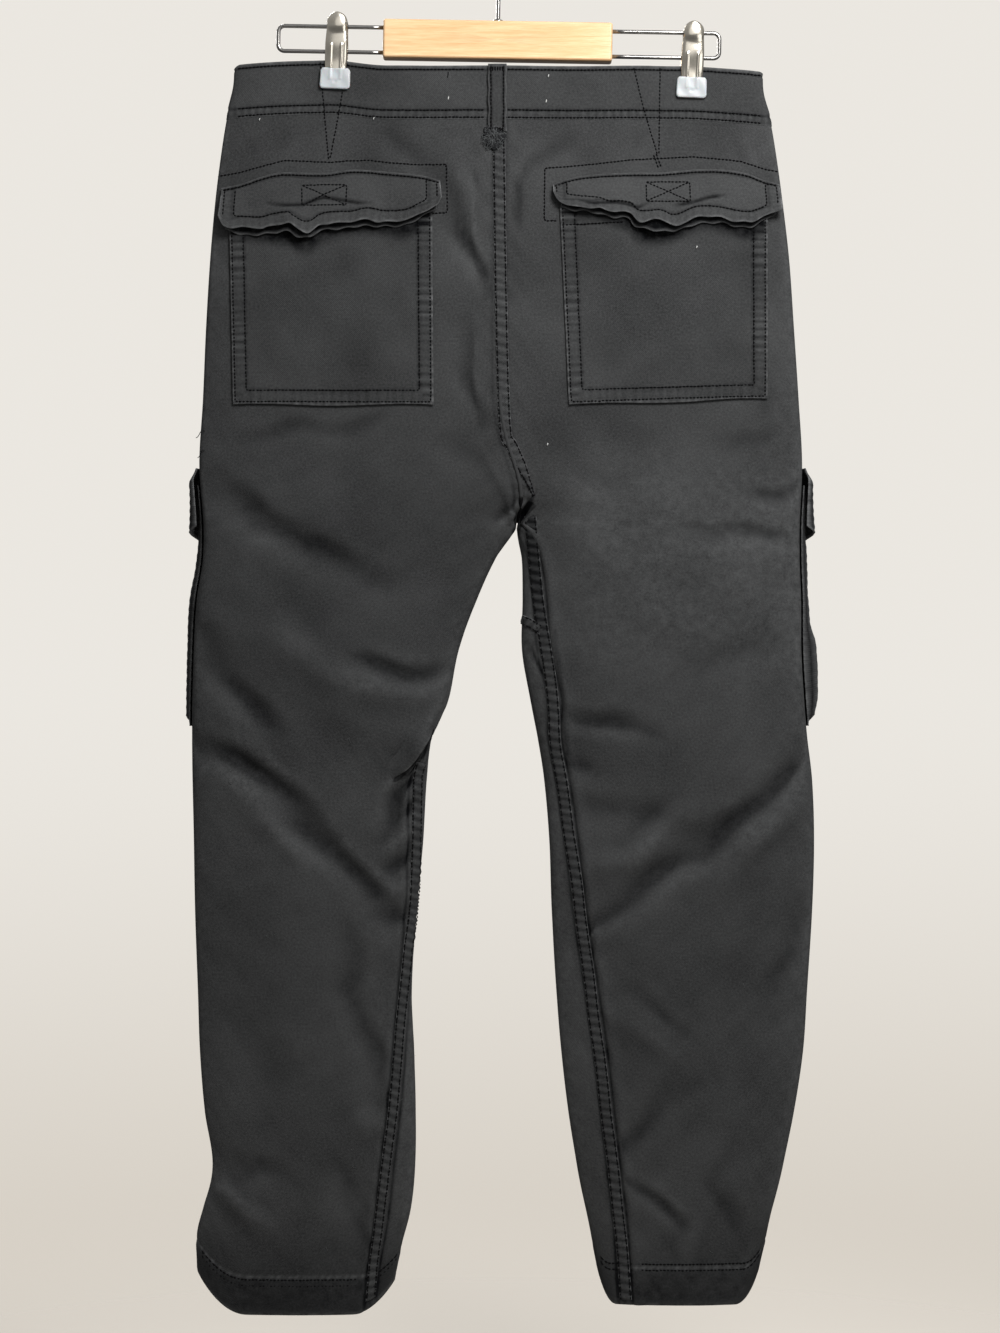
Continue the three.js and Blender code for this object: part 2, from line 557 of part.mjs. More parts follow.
// A belt loop is stitched at its head and foot and stands off the waistband between them.
function beltLoopWall(loop) {
  const rows = spread(8, 0, 1);
  const grid = rows.map((v) => [-1, 0, 1].map((u) => {
    const z = level.waistTop - 1 + (loop.foot - level.waistTop + 1) * v;
    const bow = loopBow * Math.sin(Math.PI * v);
    return torsoPoint(loop.x + u * loop.halfWidth, z, loop.face, bandProud + restOn(cloth.loop) + bow);
  }));
  return wall(grid, cloth.loop, loop.face === 'back' ? 1 : -1);
}
for (const loop of beltLoops) add(trousers, loop.name, beltLoopWall(loop), 'cloth');

// The fly placket lies on the left front panel, with its lower outer corner rounded off.
function flyWall() {
  const top = level.waistSeam - 1;
  return patch(8, 4, (u, v) => {
    const z = top + (fly.foot - top) * v;
    const t = clamp((z - fly.foot) / (fly.curveFrom - fly.foot), 0, 1);
    const reach = fly.width * Math.sqrt(1 - (1 - t) * (1 - t) * 0.9);
    return torsoPoint(-0.4 - reach * (1 - u), z, 'front', restOn(cloth.fly));
  }, cloth.fly, 'front');
}
add(trousers, 'fly_placket', flyWall(), 'cloth');

function waistButton() {
  const rim = button.thickness / 2;
  const outline = [
    new THREE.Vector2(0, 0), new THREE.Vector2(button.radius - 0.6, 0), new THREE.Vector2(button.radius, 0.6),
    new THREE.Vector2(button.radius, rim), new THREE.Vector2(button.radius - 0.8, button.thickness),
    new THREE.Vector2(button.radius - 2.6, rim + 0.6), new THREE.Vector2(0, rim + 0.6),
  ];
  const mesh = add(trousers, 'waist_button', new THREE.LatheGeometry(outline, 16), 'button');
  const band = torsoPoint(button.x, button.z, 'front', bandProud);
  mesh.position.set(band.x, band.y + seamGap + 0.1, band.z);
}
waistButton();

const hangerGroup = new THREE.Group();
hangerGroup.rotation.y = hanger.tilt;
trousers.add(hangerGroup);

function woodenBar() {
  const b = hanger.bar;
  const w = b.width / 2 - b.bevel;
  const h = b.height / 2 - b.bevel;
  const face = new THREE.Shape([
    new THREE.Vector2(-w, -h), new THREE.Vector2(w, -h), new THREE.Vector2(w, h), new THREE.Vector2(-w, h),
  ]);
  const geometry = new THREE.ExtrudeGeometry(face, {
    depth: b.thickness - 2 * b.bevel, bevelSize: b.bevel, bevelThickness: b.bevel, bevelSegments: 2,
  });
  geometry.translate(0, 0, -b.thickness / 2 + b.bevel);
  geometry.rotateX(Math.PI / 2);
  add(hangerGroup, 'hanger_bar', geometry, 'wood').position.set(b.x, 0, b.z);
}
woodenBar();

function wireSection() {
  const round = 8;
  return new THREE.Shape(Array.from({ length: round }, (_, i) => {
    const a = i / round * 2 * Math.PI;
    return new THREE.Vector2(Math.cos(a) * hanger.wireRadius, Math.sin(a) * hanger.wireRadius);
  }));
}

function wire(path, steps) {
  return new THREE.ExtrudeGeometry(wireSection(), { extrudePath: path, steps, bevelEnabled: false });
}

// The hook's inside top is at the origin. Its stem drops to the middle of the bar.
function hookWire() {
  const h = hanger.hook;
  const centre = new THREE.Vector3(0, 0, hanger.wireRadius - h.radius);
  const onArc = (degrees) => {
    const a = THREE.MathUtils.degToRad(degrees);
    return new THREE.Vector3(centre.x + h.radius * Math.cos(a), 0, centre.z + h.radius * Math.sin(a));
  };
  const barTop = hanger.bar.z + hanger.bar.height / 2;
  const points = [new THREE.Vector3(0, 0, barTop + seamGap), new THREE.Vector3(0, 0, -66)];
  points.push(new THREE.Vector3(0.6, 0, h.stemTurn));
  for (let a = h.startAngle; a <= h.tipAngle; a += 16) points.push(onArc(a));
  return wire(new THREE.CatmullRomCurve3(points, false, 'centripetal'), 40);
}
add(hangerGroup, 'hanger_hook', hookWire(), 'steel');

// Each wire loop comes out of one end of the bar and goes back into it.
function loopWire(end) {
  const l = hanger.loop;
  const away = Math.sign(end);
  const start = hanger.bar.x + away * (hanger.bar.width / 2 + seamGap);
  const turnX = end - away * l.corner;
  const path = new THREE.CurvePath();
  const point = (x, z) => new THREE.Vector3(x, 0, l.z + z);
  const corner = l.halfHeight - l.corner;
  const straight = (from, to) => path.add(new THREE.LineCurve3(from, to));
  const bend = (from, round, to) => path.add(new THREE.QuadraticBezierCurve3(from, round, to));
  straight(point(start, l.halfHeight), point(turnX, l.halfHeight));
  bend(point(turnX, l.halfHeight), point(end, l.halfHeight), point(end, corner));
  straight(point(end, corner), point(end, -corner));
  bend(point(end, -corner), point(end, -l.halfHeight), point(turnX, -l.halfHeight));
  straight(point(turnX, -l.halfHeight), point(start, -l.halfHeight));
  return wire(path, 30);
}
add(hangerGroup, 'hanger_loop_left', loopWire(hanger.loop.leftEnd), 'steel');
add(hangerGroup, 'hanger_loop_right', loopWire(hanger.loop.rightEnd), 'steel');

// Each clip has two sprung jaws that pass either side of the wires and grip with soft tips.
function clipAt(side) {
  const group = new THREE.Group();
  group.position.set(clipGrip.x[side], 0, clip.foot[side]);
  group.rotation.y = clip.lean;
  trousers.add(group);
  const tipFace = clipGrip.depth + bandProud + seamGap + 0.1;
  for (const [jaw, away] of [['back', -1], ['front', 1]]) {
    const rows = clip.profile.map((p) => [-1, -0.5, 0, 0.5, 1].map((u) => new THREE.Vector3(
      u * p.halfWidth, away * (p.out + clip.plateThickness / 2 + 0.9 * (1 - u * u)), p.up + seamGap,
    )));
    add(group, `clip_${side}_${jaw}_jaw`, wall(rows, clip.plateThickness, away), 'steel');
    const t = clip.tip;
    const w = t.width / 2;
    const shape = new THREE.Shape();
    shape.moveTo(-w + t.corner, 0);
    shape.lineTo(w - t.corner, 0);
    shape.quadraticCurveTo(w, 0, w, t.corner);
    shape.lineTo(w - 0.8, t.height);
    shape.lineTo(-w + 0.8, t.height);
    shape.lineTo(-w, t.corner);
    shape.quadraticCurveTo(-w, 0, -w + t.corner, 0);
    const settings = { depth: t.thickness, bevelEnabled: false, curveSegments: 4 };
    const geometry = new THREE.ExtrudeGeometry(shape, settings);
    geometry.rotateX(Math.PI / 2);
    geometry.translate(0, away > 0 ? tipFace + t.thickness : -tipFace, 0);
    add(group, `clip_${side}_${jaw}_tip`, geometry, 'tip');
  }
  const coil = clip.spring;
  const spring = new THREE.CylinderGeometry(coil.radius, coil.radius, coil.length, 16);
  spring.rotateZ(Math.PI / 2);
  const mesh = add(group, `clip_${side}_spring`, spring, 'steel');
  mesh.position.set(0, 0, springHeight(side));
}

// The spring sits midway between the two wires.
function springHeight(side) {
  const drop = -Math.sin(hanger.tilt) * clipGrip.x[side];
  return hanger.loop.z * Math.cos(hanger.tilt) + drop - clip.foot[side];
}

clipAt('left');
clipAt('right');

export default trousers;
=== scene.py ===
import math
import bpy
import numpy as np
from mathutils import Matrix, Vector


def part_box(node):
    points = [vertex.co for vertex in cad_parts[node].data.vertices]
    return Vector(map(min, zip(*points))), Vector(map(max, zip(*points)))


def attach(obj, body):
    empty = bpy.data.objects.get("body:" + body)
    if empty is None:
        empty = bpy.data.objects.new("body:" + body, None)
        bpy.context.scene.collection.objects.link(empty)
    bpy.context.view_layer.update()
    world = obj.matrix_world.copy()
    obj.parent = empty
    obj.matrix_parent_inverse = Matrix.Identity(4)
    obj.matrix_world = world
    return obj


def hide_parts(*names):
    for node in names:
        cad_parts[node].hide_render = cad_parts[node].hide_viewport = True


# Charcoal cargo trousers on a clip hanger, seen from behind.
# Shapes are worked out in millimetres and scaled to metres when a mesh is made.
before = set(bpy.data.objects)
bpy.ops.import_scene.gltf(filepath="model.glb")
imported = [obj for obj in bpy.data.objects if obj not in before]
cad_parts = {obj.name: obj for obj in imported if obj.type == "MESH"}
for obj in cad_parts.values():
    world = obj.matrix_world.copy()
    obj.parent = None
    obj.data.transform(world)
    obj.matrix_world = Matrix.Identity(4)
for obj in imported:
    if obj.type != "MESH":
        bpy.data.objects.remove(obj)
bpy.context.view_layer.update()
print("frame loaded:", len(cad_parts), "nodes")

pi = math.pi
mm = 0.001
rng = np.random.default_rng(7)

# The garment's form: the same levels and outlines as its solids.
garment = {
    "waistTop": -131.5, "waistSeam": -176.5, "hemFrom": -1040, "hemLeft": -1163, "hemRight": -1155,
    "crotch": -511, "riseHeight": 75, "sideSeamInset": 8, "bandProud": 0.5,
    "clipLeft": -137, "clipRight": 158.3, "clipHalf": 15, "clipDepth": 2.4, "clipSpread": 30,
    "clipBelow": 70, "clipZ": -160,
}
outerLeft = [
    (-130, -220), (-150, -220.5), (-171, -225.8), (-200, -230.7), (-241, -236), (-291, -240.5),
    (-349, -244), (-407, -246.5), (-461, -249.5), (-511, -246), (-540, -246.5), (-573, -251.5),
    (-615, -254), (-686, -255.5), (-773, -254), (-831, -253), (-897, -250.7), (-947, -249),
    (-997, -245), (-1042, -238.5), (-1088, -246), (-1125, -251.5), (-1160, -251),
]
outerRight = [
    (-130, 217.5), (-150, 218.3), (-171, 224.1), (-200, 229.1), (-241, 234.5), (-291, 240),
    (-349, 244), (-407, 247.8), (-461, 250.7), (-511, 248.6), (-540, 248.6), (-573, 249.8),
    (-615, 250), (-656, 252.3), (-686, 254.8), (-723, 259), (-773, 260.6), (-831, 259),
    (-897, 254.8), (-947, 251.5), (-997, 244), (-1042, 234.9), (-1088, 225.8), (-1125, 220),
    (-1160, 213),
]
innerLeft = [
    (-511, 14, 0), (-524, 4, -3), (-540, -5.8, -6), (-573, -19.9, -9), (-615, -34.9, -9),
    (-656, -44, -6), (-686, -56, 0), (-723, -60.6, 8), (-773, -63.5, 7), (-831, -68.9, 4),
    (-897, -73, 6), (-947, -71, 12), (-997, -69.7, 18), (-1042, -70.1, 23), (-1088, -73.9, 24),
    (-1125, -80.5, 23), (-1160, -87, 20),
]
innerRight = [
    (-511, 14, 0), (-524, 15.5, 7), (-540, 18, 10), (-573, 18.5, 14), (-615, 18, 18),
    (-656, 24.9, 20), (-686, 30.7, 14), (-723, 36.5, 15), (-773, 40.7, 18), (-831, 42.7, 23),
    (-897, 46.5, 29), (-947, 50.6, 32), (-997, 56.4, 32), (-1042, 63.5, 30), (-1088, 71, 28),
    (-1125, 76.4, 25), (-1160, 82.2, 22),
]
centreSeam = [(-130, 0), (-407, 0), (-436, 4), (-450, 8), (-472, 15), (-490, 17.5), (-511, 14)]
formDepth = [
    (-130, 9, 0.42), (-176, 10, 0.46), (-220, 14, 0.6), (-290, 18, 0.68), (-350, 21.5, 0.72),
    (-420, 24, 0.74), (-511, 25, 0.76), (-620, 24.5, 0.76), (-740, 23, 0.76), (-880, 21, 0.76),
    (-1000, 20, 0.76), (-1090, 19, 0.78), (-1160, 18.5, 0.8),
]
waistSag = [(-225, 1), (-140, 5.5), (-92, 0.5), (0, 0), (70, -0.5), (158, 0.5), (220, -4.5)]
hemLift = {
    "left": {"outer": 34, "outerReach": 42, "inner": 26, "innerReach": 36},
    "right": {"outer": 26, "outerReach": 20, "inner": 24, "innerReach": 14},
}


def fold(path, width, height, lean=0, step=0):
    # x and z along a fold, how wide it is, and how high: below 0 is a trough.
    # lean puts a lit ridge on one side of a trough, and step makes the cloth overhang on one side.
    return {"path": path, "width": width, "height": height, "lean": lean, "step": step}


backFolds = [
    fold([(-248, -466), (-190, -511), (-83, -554)], 15, -6, 0.5),
    fold([(-249, -565), (-160, -622), (-108, -656), (-72, -692)], 24, 5.5),
    fold([(-246, -600), (-205, -655), (-172, -706)], 13, -5, 0.4),
    fold([(-253, -684), (-183, -731), (-133, -773), (-79, -839)], 15, -7.5, 0.7),
    fold([(-252, -712), (-200, -748), (-160, -782)], 10, 3),
    fold([(-38, -636), (-74, -630), (-112, -617)], 9, -5, -0.5),
    fold([(-46, -650), (-90, -650), (-140, -632)], 11, 3.5),
    fold([(-52, -672), (-70, -698), (-88, -724)], 11, 5),
    fold([(-66, -703), (-84, -732), (-92, -764)], 8, -4.5),
    fold([(-62, -742), (-84, -752)], 7, -2.8),
    fold([(-64, -762), (-90, -774)], 7, 2.4),
    fold([(-66, -783), (-94, -792)], 7, -2.8),
    fold([(-70, -806), (-96, -812)], 7, 2.4),
    fold([(-72, -826), (-104, -832)], 8, -3),
    fold([(-126, -842), (-112, -900), (-98, -975)], 13, -4, 0.5),
    fold([(-122, -985), (-100, -1012)], 14, 3),
    fold([(-230, -866), (-205, -930), (-208, -990)], 20, -2.6),
    fold([(-243, -1020), (-205, -1046), (-168, -1052)], 12, -3.2, 0.5),
    fold([(-238, -1052), (-214, -1078), (-190, -1104)], 10, 2.6),
    fold([(-130, -1030), (-116, -1080), (-120, -1120)], 11, -2.2),
    fold([(-170, -880), (-165, -960), (-158, -1040)], 24, 2.2),
    fold([(205, -480), (249, -479)], 9, -4, 0.4),
    fold([(160, -519), (196, -513), (236, -516)], 10, -4.2, 0.5),
    fold([(48, -500), (100, -545), (140, -620)], 30, 3),
    fold([(56, -662), (90, -668), (126, -686)], 9, -3.6, 0.4),
    fold([(60, -740), (104, -748), (152, -766)], 17, -4.5, 0.4),
    fold([(249, -700), (216, -739), (166, -789), (83, -839)], 14, -7, 0.8),
    fold([(252, -728), (222, -764), (186, -797)], 10, 3),
    fold([(60, -798), (110, -788), (160, -752)], 12, 3.6),
    fold([(46, -700), (74, -712)], 8, -2.5),
    fold([(50, -852), (78, -862)], 8, -2.6),
    fold([(150, -640), (200, -610), (240, -606)], 15, -2.4),
    fold([(86, -898), (112, -928), (140, -954)], 8, 2.2),
    fold([(104, -892), (130, -915), (160, -936)], 7, -2),
    fold([(248, -820), (236, -860), (226, -905)], 14, -3),
    fold([(168, -968), (130, -1000), (104, -1034)], 14, -3.2, 0.4),
    fold([(110, -1053), (132, -1068), (154, -1088)], 6, -2.6, 0.6),
    fold([(196, -1010), (184, -1060), (190, -1110)], 12, -2.4),
    fold([(158, -1090), (150, -1122)], 9, 1.8),
    fold([(-58, -195), (-36, -240), (-14, -325)], 7, -2.6, 0.5),
    fold([(56, -186), (26, -210), (10, -280)], 8, -2),
    fold([(-32, -350), (-22, -432)], 8, -2.6, -0.4),
    fold([(-216, -441), (-160, -432), (-104, -421)], 8, -2.6, 0.5),
    fold([(-60, -440), (-20, -470), (4, -500)], 10, -2.4),
    fold([(30, -440), (70, -470), (120, -482)], 14, -2),
    fold([(226, -392), (212, -428), (180, -446)], 9, -2.2),
    fold([(25, -487), (21.8, -492), (17, -501), (11.5, -513)], 7, 4.2, step=-1.6),
    fold([(25.5, -495), (21.5, -500.5), (17, -507.5), (12.6, -516)], 3.2, -3),
    fold([(-55, -678), (-62.6, -690.7), (-67.5, -699), (-74, -708), (-86, -721)], 9, 4, step=-1.4),
    fold([(-57, -686), (-62, -696), (-69, -705.5), (-85, -722)], 3.4, -3),
    fold([(-96, -181), (-72, -200), (-54, -224)], 8, -2.6, 0.4),
    fold([(-50, -236), (-32, -264), (-19, -306)], 9, -2.8, 0.4),
    fold([(-70, -186), (-44, -206), (-26, -240)], 8, 2.4),
    fold([(19.7, -606), (27, -619), (34, -632)], 2.6, -1.4),
    fold([(-96, -180), (-84, -208)], 6, -1.4),
    fold([(-176, -182), (-184, -212)], 6, -1.4),
    fold([(118, -182), (110, -210)], 6, -1.4),
    fold([(192, -184), (200, -212)], 6, -1.4),
]
frontFolds = [
    fold([(-225, -745), (-160, -790), (-90, -835)], 18, -5.5, 0.5),
    fold([(-235, -700), (-170, -730)], 14, -3.5),
    fold([(-110, -900), (-170, -935), (-225, -960)], 15, -4.2, 0.4),
    fold([(-90, -1010), (-150, -1040), (-210, -1048)], 13, -3),
    fold([(228, -750), (150, -800), (75, -850)], 18, -5.5, 0.5),
    fold([(236, -705), (176, -726)], 13, -3.2),
    fold([(90, -915), (150, -938), (210, -955)], 15, -4.2, 0.4),
    fold([(96, -1020), (150, -1044), (190, -1046)], 12, -3),
    fold([(-20, -470), (-70, -432), (-120, -400)], 12, -4.5, 0.5),
    fold([(35, -475), (84, -434), (130, -405)], 12, -4.5, 0.5),
    fold([(-14, -500), (-70, -500), (-96, -486)], 10, -3),
    fold([(40, -508), (84, -502), (100, -488)], 10, -3),
    fold([(-60, -690), (-110, -700)], 10, -3),
    fold([(44, -700), (90, -712)], 10, -3),
    fold([(-170, -186), (-176, -230)], 8, -2),
    fold([(184, -186), (190, -230)], 8, -2),
]
foldStrength = 0.9
broadFold = 6.5


def rise(low, high, value):
    t = np.clip((value - low) / (high - low), 0, 1)
    return t * t * (3 - 2 * t)


def bell(value, middle, width, power=2):
    # 1 at the middle, falling to nothing past the width, and flatter on top with a power of 4
    return np.exp(-((value - middle) / width)**power)


def curveOf(rows, column=1):
    # a smooth curve through a table's rows, read at any place
    rows = sorted(rows)
    keys = np.array([r[0] for r in rows], float)
    values = np.array([r[column] for r in rows], float)
    slopes = np.empty_like(values)
    slopes[1:-1] = (values[2:] - values[:-2]) / (keys[2:] - keys[:-2])
    slopes[0] = (values[1] - values[0]) / (keys[1] - keys[0])
    slopes[-1] = (values[-1] - values[-2]) / (keys[-1] - keys[-2])

    def read(where):
        where = np.asarray(where, float)
        i = np.clip(np.searchsorted(keys, where) - 1, 0, len(keys) - 2)
        span = keys[i + 1] - keys[i]
        t = np.clip((where - keys[i]) / span, 0, 1)
        a = (2 * t**3 - 3 * t**2 + 1) * values[i] + (t**3 - 2 * t**2 + t) * span * slopes[i]
        return a + (3 * t**2 - 2 * t**3) * values[i + 1] + (t**3 - t**2) * span * slopes[i + 1]
    return read


sides = {
    "left": {"away": -1, "ease": 0.6, "outer": curveOf(outerLeft), "inner": curveOf(innerLeft),
             "seam": curveOf(innerLeft, 2), "hem": garment["hemLeft"]},
    "right": {"away": 1, "ease": -0.28, "outer": curveOf(outerRight), "inner": curveOf(innerRight),
              "seam": curveOf(innerRight, 2), "hem": garment["hemRight"]},
}
centreX = curveOf(centreSeam)
depthAt = curveOf(formDepth)
powerAt = curveOf(formDepth, 2)
sagAt = curveOf(waistSag)


def smoothPath(points):
    # points along a smooth curve through a few, and how far along each lies
    points = np.array(points, float)
    if len(points) == 2:
        dense = points[0] + (points[1] - points[0]) * np.linspace(0, 1, 60)[:, None]
    else:
        ends = np.vstack([2 * points[0] - points[1], points, 2 * points[-1] - points[-2]])
        pieces = []
        for i in range(len(points) - 1):
            a, b, c, d = ends[i:i + 4]
            t = np.linspace(0, 1, 24, endpoint=False)[:, None]
            pieces.append(0.5 * (2 * b + (c - a) * t + (2 * a - 5 * b + 4 * c - d) * t**2
                                 + (3 * b - a - 3 * c + d) * t**3))
        dense = np.vstack(pieces + [points[-1:]])
    gone = np.concatenate([[0], np.cumsum(np.hypot(*np.diff(dense, axis=0).T))])
    return dense, gone


def lineDistance(path, x, z):
    # how far each place is from a line of points, how far along it that is, and on which side
    path = np.array(path, float)
    lengths = np.hypot(*np.diff(path, axis=0).T)
    gone = np.concatenate([[0], np.cumsum(lengths)])
    best = np.full(x.shape, 1e9)
    along = np.zeros_like(x)
    side = np.zeros_like(x)
    for i, length in enumerate(lengths):
        ax, az = path[i]
        ux, uz = (path[i + 1] - path[i]) / length
        t = np.clip((x - ax) * ux + (z - az) * uz, 0, length)
        dx, dz = x - ax - t * ux, z - az - t * uz
        d = np.hypot(dx, dz)
        nearer = d < best
        best = np.where(nearer, d, best)
        along = np.where(nearer, (gone[i] + t) / gone[-1], along)
        side = np.where(nearer, -dx * uz + dz * ux, side)
    return best, along, side


def foldHeight(folds, x, z):
    # broad folds wander a little and swell unevenly, and a stepped one overhangs the cloth beside it
    total = np.zeros_like(x)
    wanderX = x + 4.5 * np.sin(z / 21 + 0.7) + 2.2 * np.sin(z / 9.5 + x / 30)
    wanderZ = z + 5 * np.sin(x / 26 - 0.4) + 2.4 * np.sin(x / 11 + z / 37)
    uneven = 1 + 0.35 * np.sin(x / 17 + z / 23 + 1) * np.sin(z / 13 - x / 37)
    for f in folds:
        broad = f["width"] > broadFold
        best, along, side = lineDistance(f["path"], wanderX if broad else x, wanderZ if broad else z)
        taper = 0.35 + 0.65 * np.sin(pi * np.clip(along, 0, 1))
        sharp = 1 - 0.55 * abs(f["lean"]) * rise(-1, 2, side * np.sign(f["lean"]))
        across = bell(best, 0, f["width"] * sharp)
        if f["step"]:
            shape = 0.5 + 0.5 * np.tanh(side * f["step"])
        else:
            shape = 1 - f["lean"] * side / f["width"]
        total += f["height"] * taper * across * shape * (uneven * foldStrength if broad else 1)
    return total


darts = [
    {"top": [(-149, -131.5), (-127, -131.5)], "point": (-141.5, -214)},
    {"top": [(110.5, -131.5), (132.5, -131.5)], "point": (131.5, -206)},
]
# painted shadow in the crotch slit and in the wedge beside the knee fold, and softer painted shade along a few
# creases
shadowedCreases = [
    {"path": [(25.2, -495.5), (21.5, -500.5), (17, -507.5), (12.6, -516.5)], "width": 2.9, "strength": 3},
    {"path": [(-56.5, -684), (-60.5, -693.5), (-65.5, -701)], "width": 3.3, "strength": 3},
    {"path": [(-65.5, -701), (-74, -710), (-86, -721.5)], "width": 1.8, "strength": 2.5},
    {"path": [(19.7, -605), (27, -618), (34, -632)], "width": 1.6, "strength": 0.6},
    {"path": [(-60, -744), (-76, -749)], "width": 2.0, "strength": 0.4},
    {"path": [(-66, -785), (-86, -790)], "width": 2.0, "strength": 0.4},
    {"path": [(46, -600), (52, -660), (56, -700)], "width": 2.2, "strength": 0.35},
]


def dartPucker(x, z):
    # short creases across the narrow cloth between the two lines of each dart
    total = np.zeros_like(x)
    for dart in darts:
        (left, top), (right, _) = dart["top"]
        px, pz = dart["point"]
        t = np.clip((top - z) / (top - pz), 0, 1)
        middle, half = (left + right) / 2 * (1 - t) + px * t, (right - left) / 2 * (1 - t) + 1.5
        across = bell(x, middle, half, 4)
        total += across * (0.3 * np.sin(2 * pi * z / 6.3 + x / 9) + 0.25) * (z > pz) * rise(0, 0.1, 1 - t)
    return total


def creaseShade(x, z):
    total = np.zeros_like(x)
    for crease in shadowedCreases:
        best = lineDistance(crease["path"], x, z)[0]
        total = np.maximum(total, crease["strength"] * bell(best, 0, crease["width"], 4))
    return np.clip(total, 0, 2)


def wrinkle(x, z):
    # soft unevenness of washed cloth
    bend = 9 * np.sin(x / 41 + 1.7) + 7 * np.sin(z / 57 - 0.6)
    a = np.sin((x + bend) / 11.3 + z / 19.7) * np.sin(z / 27.1 - x / 43.0 + 1.1)
    b = np.sin((z - bend) / 8.9 + x / 16.3 + 2.0) * np.sin(x / 33.7 + z / 61.0)
    c = np.sin((x - z + bend) / 6.1) * np.sin((x + z) / 14.9 + 0.4) * np.sin(z / 39.0)
    d = np.sin((x + bend) / 3.4) * np.sin((z - bend) / 4.1 + x / 9)
    return 0.34 * a + 0.26 * b + 0.12 * c + 0.12 * d


def section(side, z):
    s = sides[side]
    outer = s["outer"](z)
    split = z <= garment["crotch"]
    above = np.clip((z - garment["crotch"]) / garment["riseHeight"], 0, 1)
    opened = (1 - (1 - above)**2) * (1 - np.exp(-above * garment["riseHeight"] / 7))
    turn = pi - pi / 2 * opened
    below = np.clip(garment["crotch"] - z, 0, None)
    eased = s["inner"](z) + s["ease"] * below * np.exp(-below / 7)
    inner = np.where(split, eased, centreX(z)) + s["away"] * 0.15
    half = (inner - outer) / (1 - np.cos(turn))
    return outer, inner, half, turn, split


def skinPoint(side, z, angle):
    g = garment
    z = np.asarray(z, float) + np.zeros_like(angle)
    outer, inner, half, turn, split = section(side, z)
    around = (angle + pi) % (2 * pi) - pi
    back = around >= 0
    x = outer + half * (1 - np.cos(around))
    bulge = np.clip(np.sin(np.abs(around)), 0, 1)**powerAt(z)
    deep = depthAt(z) * bulge
    gripX = np.minimum(np.abs(x - g["clipLeft"]), np.abs(x - g["clipRight"])) - g["clipHalf"]
    gripZ = np.clip(g["clipZ"] - z, 0, None) / g["clipBelow"]
    pinch = np.exp(-(np.clip(gripX, 0, None) / g["clipSpread"])**2 - gripZ**2)
    deep = deep + (g["clipDepth"] - deep) * pinch * rise(0, 0.3, bulge)
    folds = np.where(back, foldHeight(backFolds, x, z), foldHeight(frontFolds, x, z)) + wrinkle(x, z)
    deep = deep + folds * rise(0, 0.5, bulge) * (1 - pinch)
    sag = sagAt(x) * rise(-320, g["waistSeam"], z)
    lift = hemLift[side]
    hem = sides[side]["hem"]
    nearOuter = np.clip(1 - np.abs(x - outer) / lift["outerReach"], 0, 1)
    nearInner = np.where(split, np.clip(1 - np.abs(x - inner) / lift["innerReach"], 0, 1), 0)
    raised = lift["outer"] * nearOuter**2 + lift["inner"] * nearInner**2
    raised = raised * (1 - rise(hem, g["hemFrom"], z))
    return np.stack([x, np.where(back, -deep, deep), z + sag + raised], -1)


def skin(side, z, angle, out=0.0):
    # a point moved out square to the cloth, and the way that faces out there
    angle = np.asarray(angle, float)
    z = np.asarray(z, float) + np.zeros_like(angle)
    p = skinPoint(side, z, angle)
    around = skinPoint(side, z, angle + 0.02) - skinPoint(side, z, angle - 0.02)
    down = skinPoint(side, z - 1.5, angle) - skinPoint(side, z + 1.5, angle)
    n = np.cross(around, down)
    n /= np.maximum(np.linalg.norm(n, axis=-1, keepdims=True), 1e-9)
    if side == "left":
        n = -n
    return p + n * np.asarray(out)[..., None], n


def facePoint(x, z, face, out=0.0):
    # the same, by x on one face, whichever leg or half that is
    x = np.asarray(x, float)
    z = np.asarray(z, float) + np.zeros_like(x)
    out = np.asarray(out, float) + np.zeros_like(x)
    isLeft = x < np.where(z > garment["crotch"], centreX(z), 14)
    points, normals = np.zeros(x.shape + (3,)), np.zeros(x.shape + (3,))
    for side, mask in (("left", isLeft), ("right", ~isLeft)):
        if not mask.any():
            continue
        outer, _, half, _, _ = section(side, z[mask])
        angle = np.arccos(np.clip(1 - (x[mask] - outer) / half, -1, 1))
        points[mask], normals[mask] = skin(side, z[mask], angle if face == "back" else -angle, out[mask])
    return points, normals


def newMesh(name, points, quads, **attributes):
    # points are in millimetres, and each attribute is one number or three at every point
    mesh = bpy.data.meshes.new(name)
    points = np.asarray(points, float).reshape(-1, 3) * mm
    quads = np.asarray(quads, np.int32).reshape(-1, 4)
    mesh.vertices.add(len(points))
    mesh.vertices.foreach_set("co", points.astype(np.float32).ravel())
    mesh.loops.add(quads.size)
    mesh.loops.foreach_set("vertex_index", quads.ravel())
    mesh.polygons.add(len(quads))
    mesh.polygons.foreach_set("loop_start", np.arange(0, quads.size, 4, dtype=np.int32))
    mesh.polygons.foreach_set("use_smooth", np.ones(len(quads), bool))
    mesh.update(calc_edges=True)
    for key, values in attributes.items():
        values = np.asarray(values, np.float32)
        kind = "FLOAT_VECTOR" if values.ndim > 1 and values.shape[-1] == 3 else "FLOAT"
        layer = mesh.attributes.new(key, kind, "POINT")
        layer.data.foreach_set("vector" if kind == "FLOAT_VECTOR" else "value", values.ravel())
    obj = bpy.data.objects.new(name, mesh)
    bpy.context.collection.objects.link(obj)
    return obj


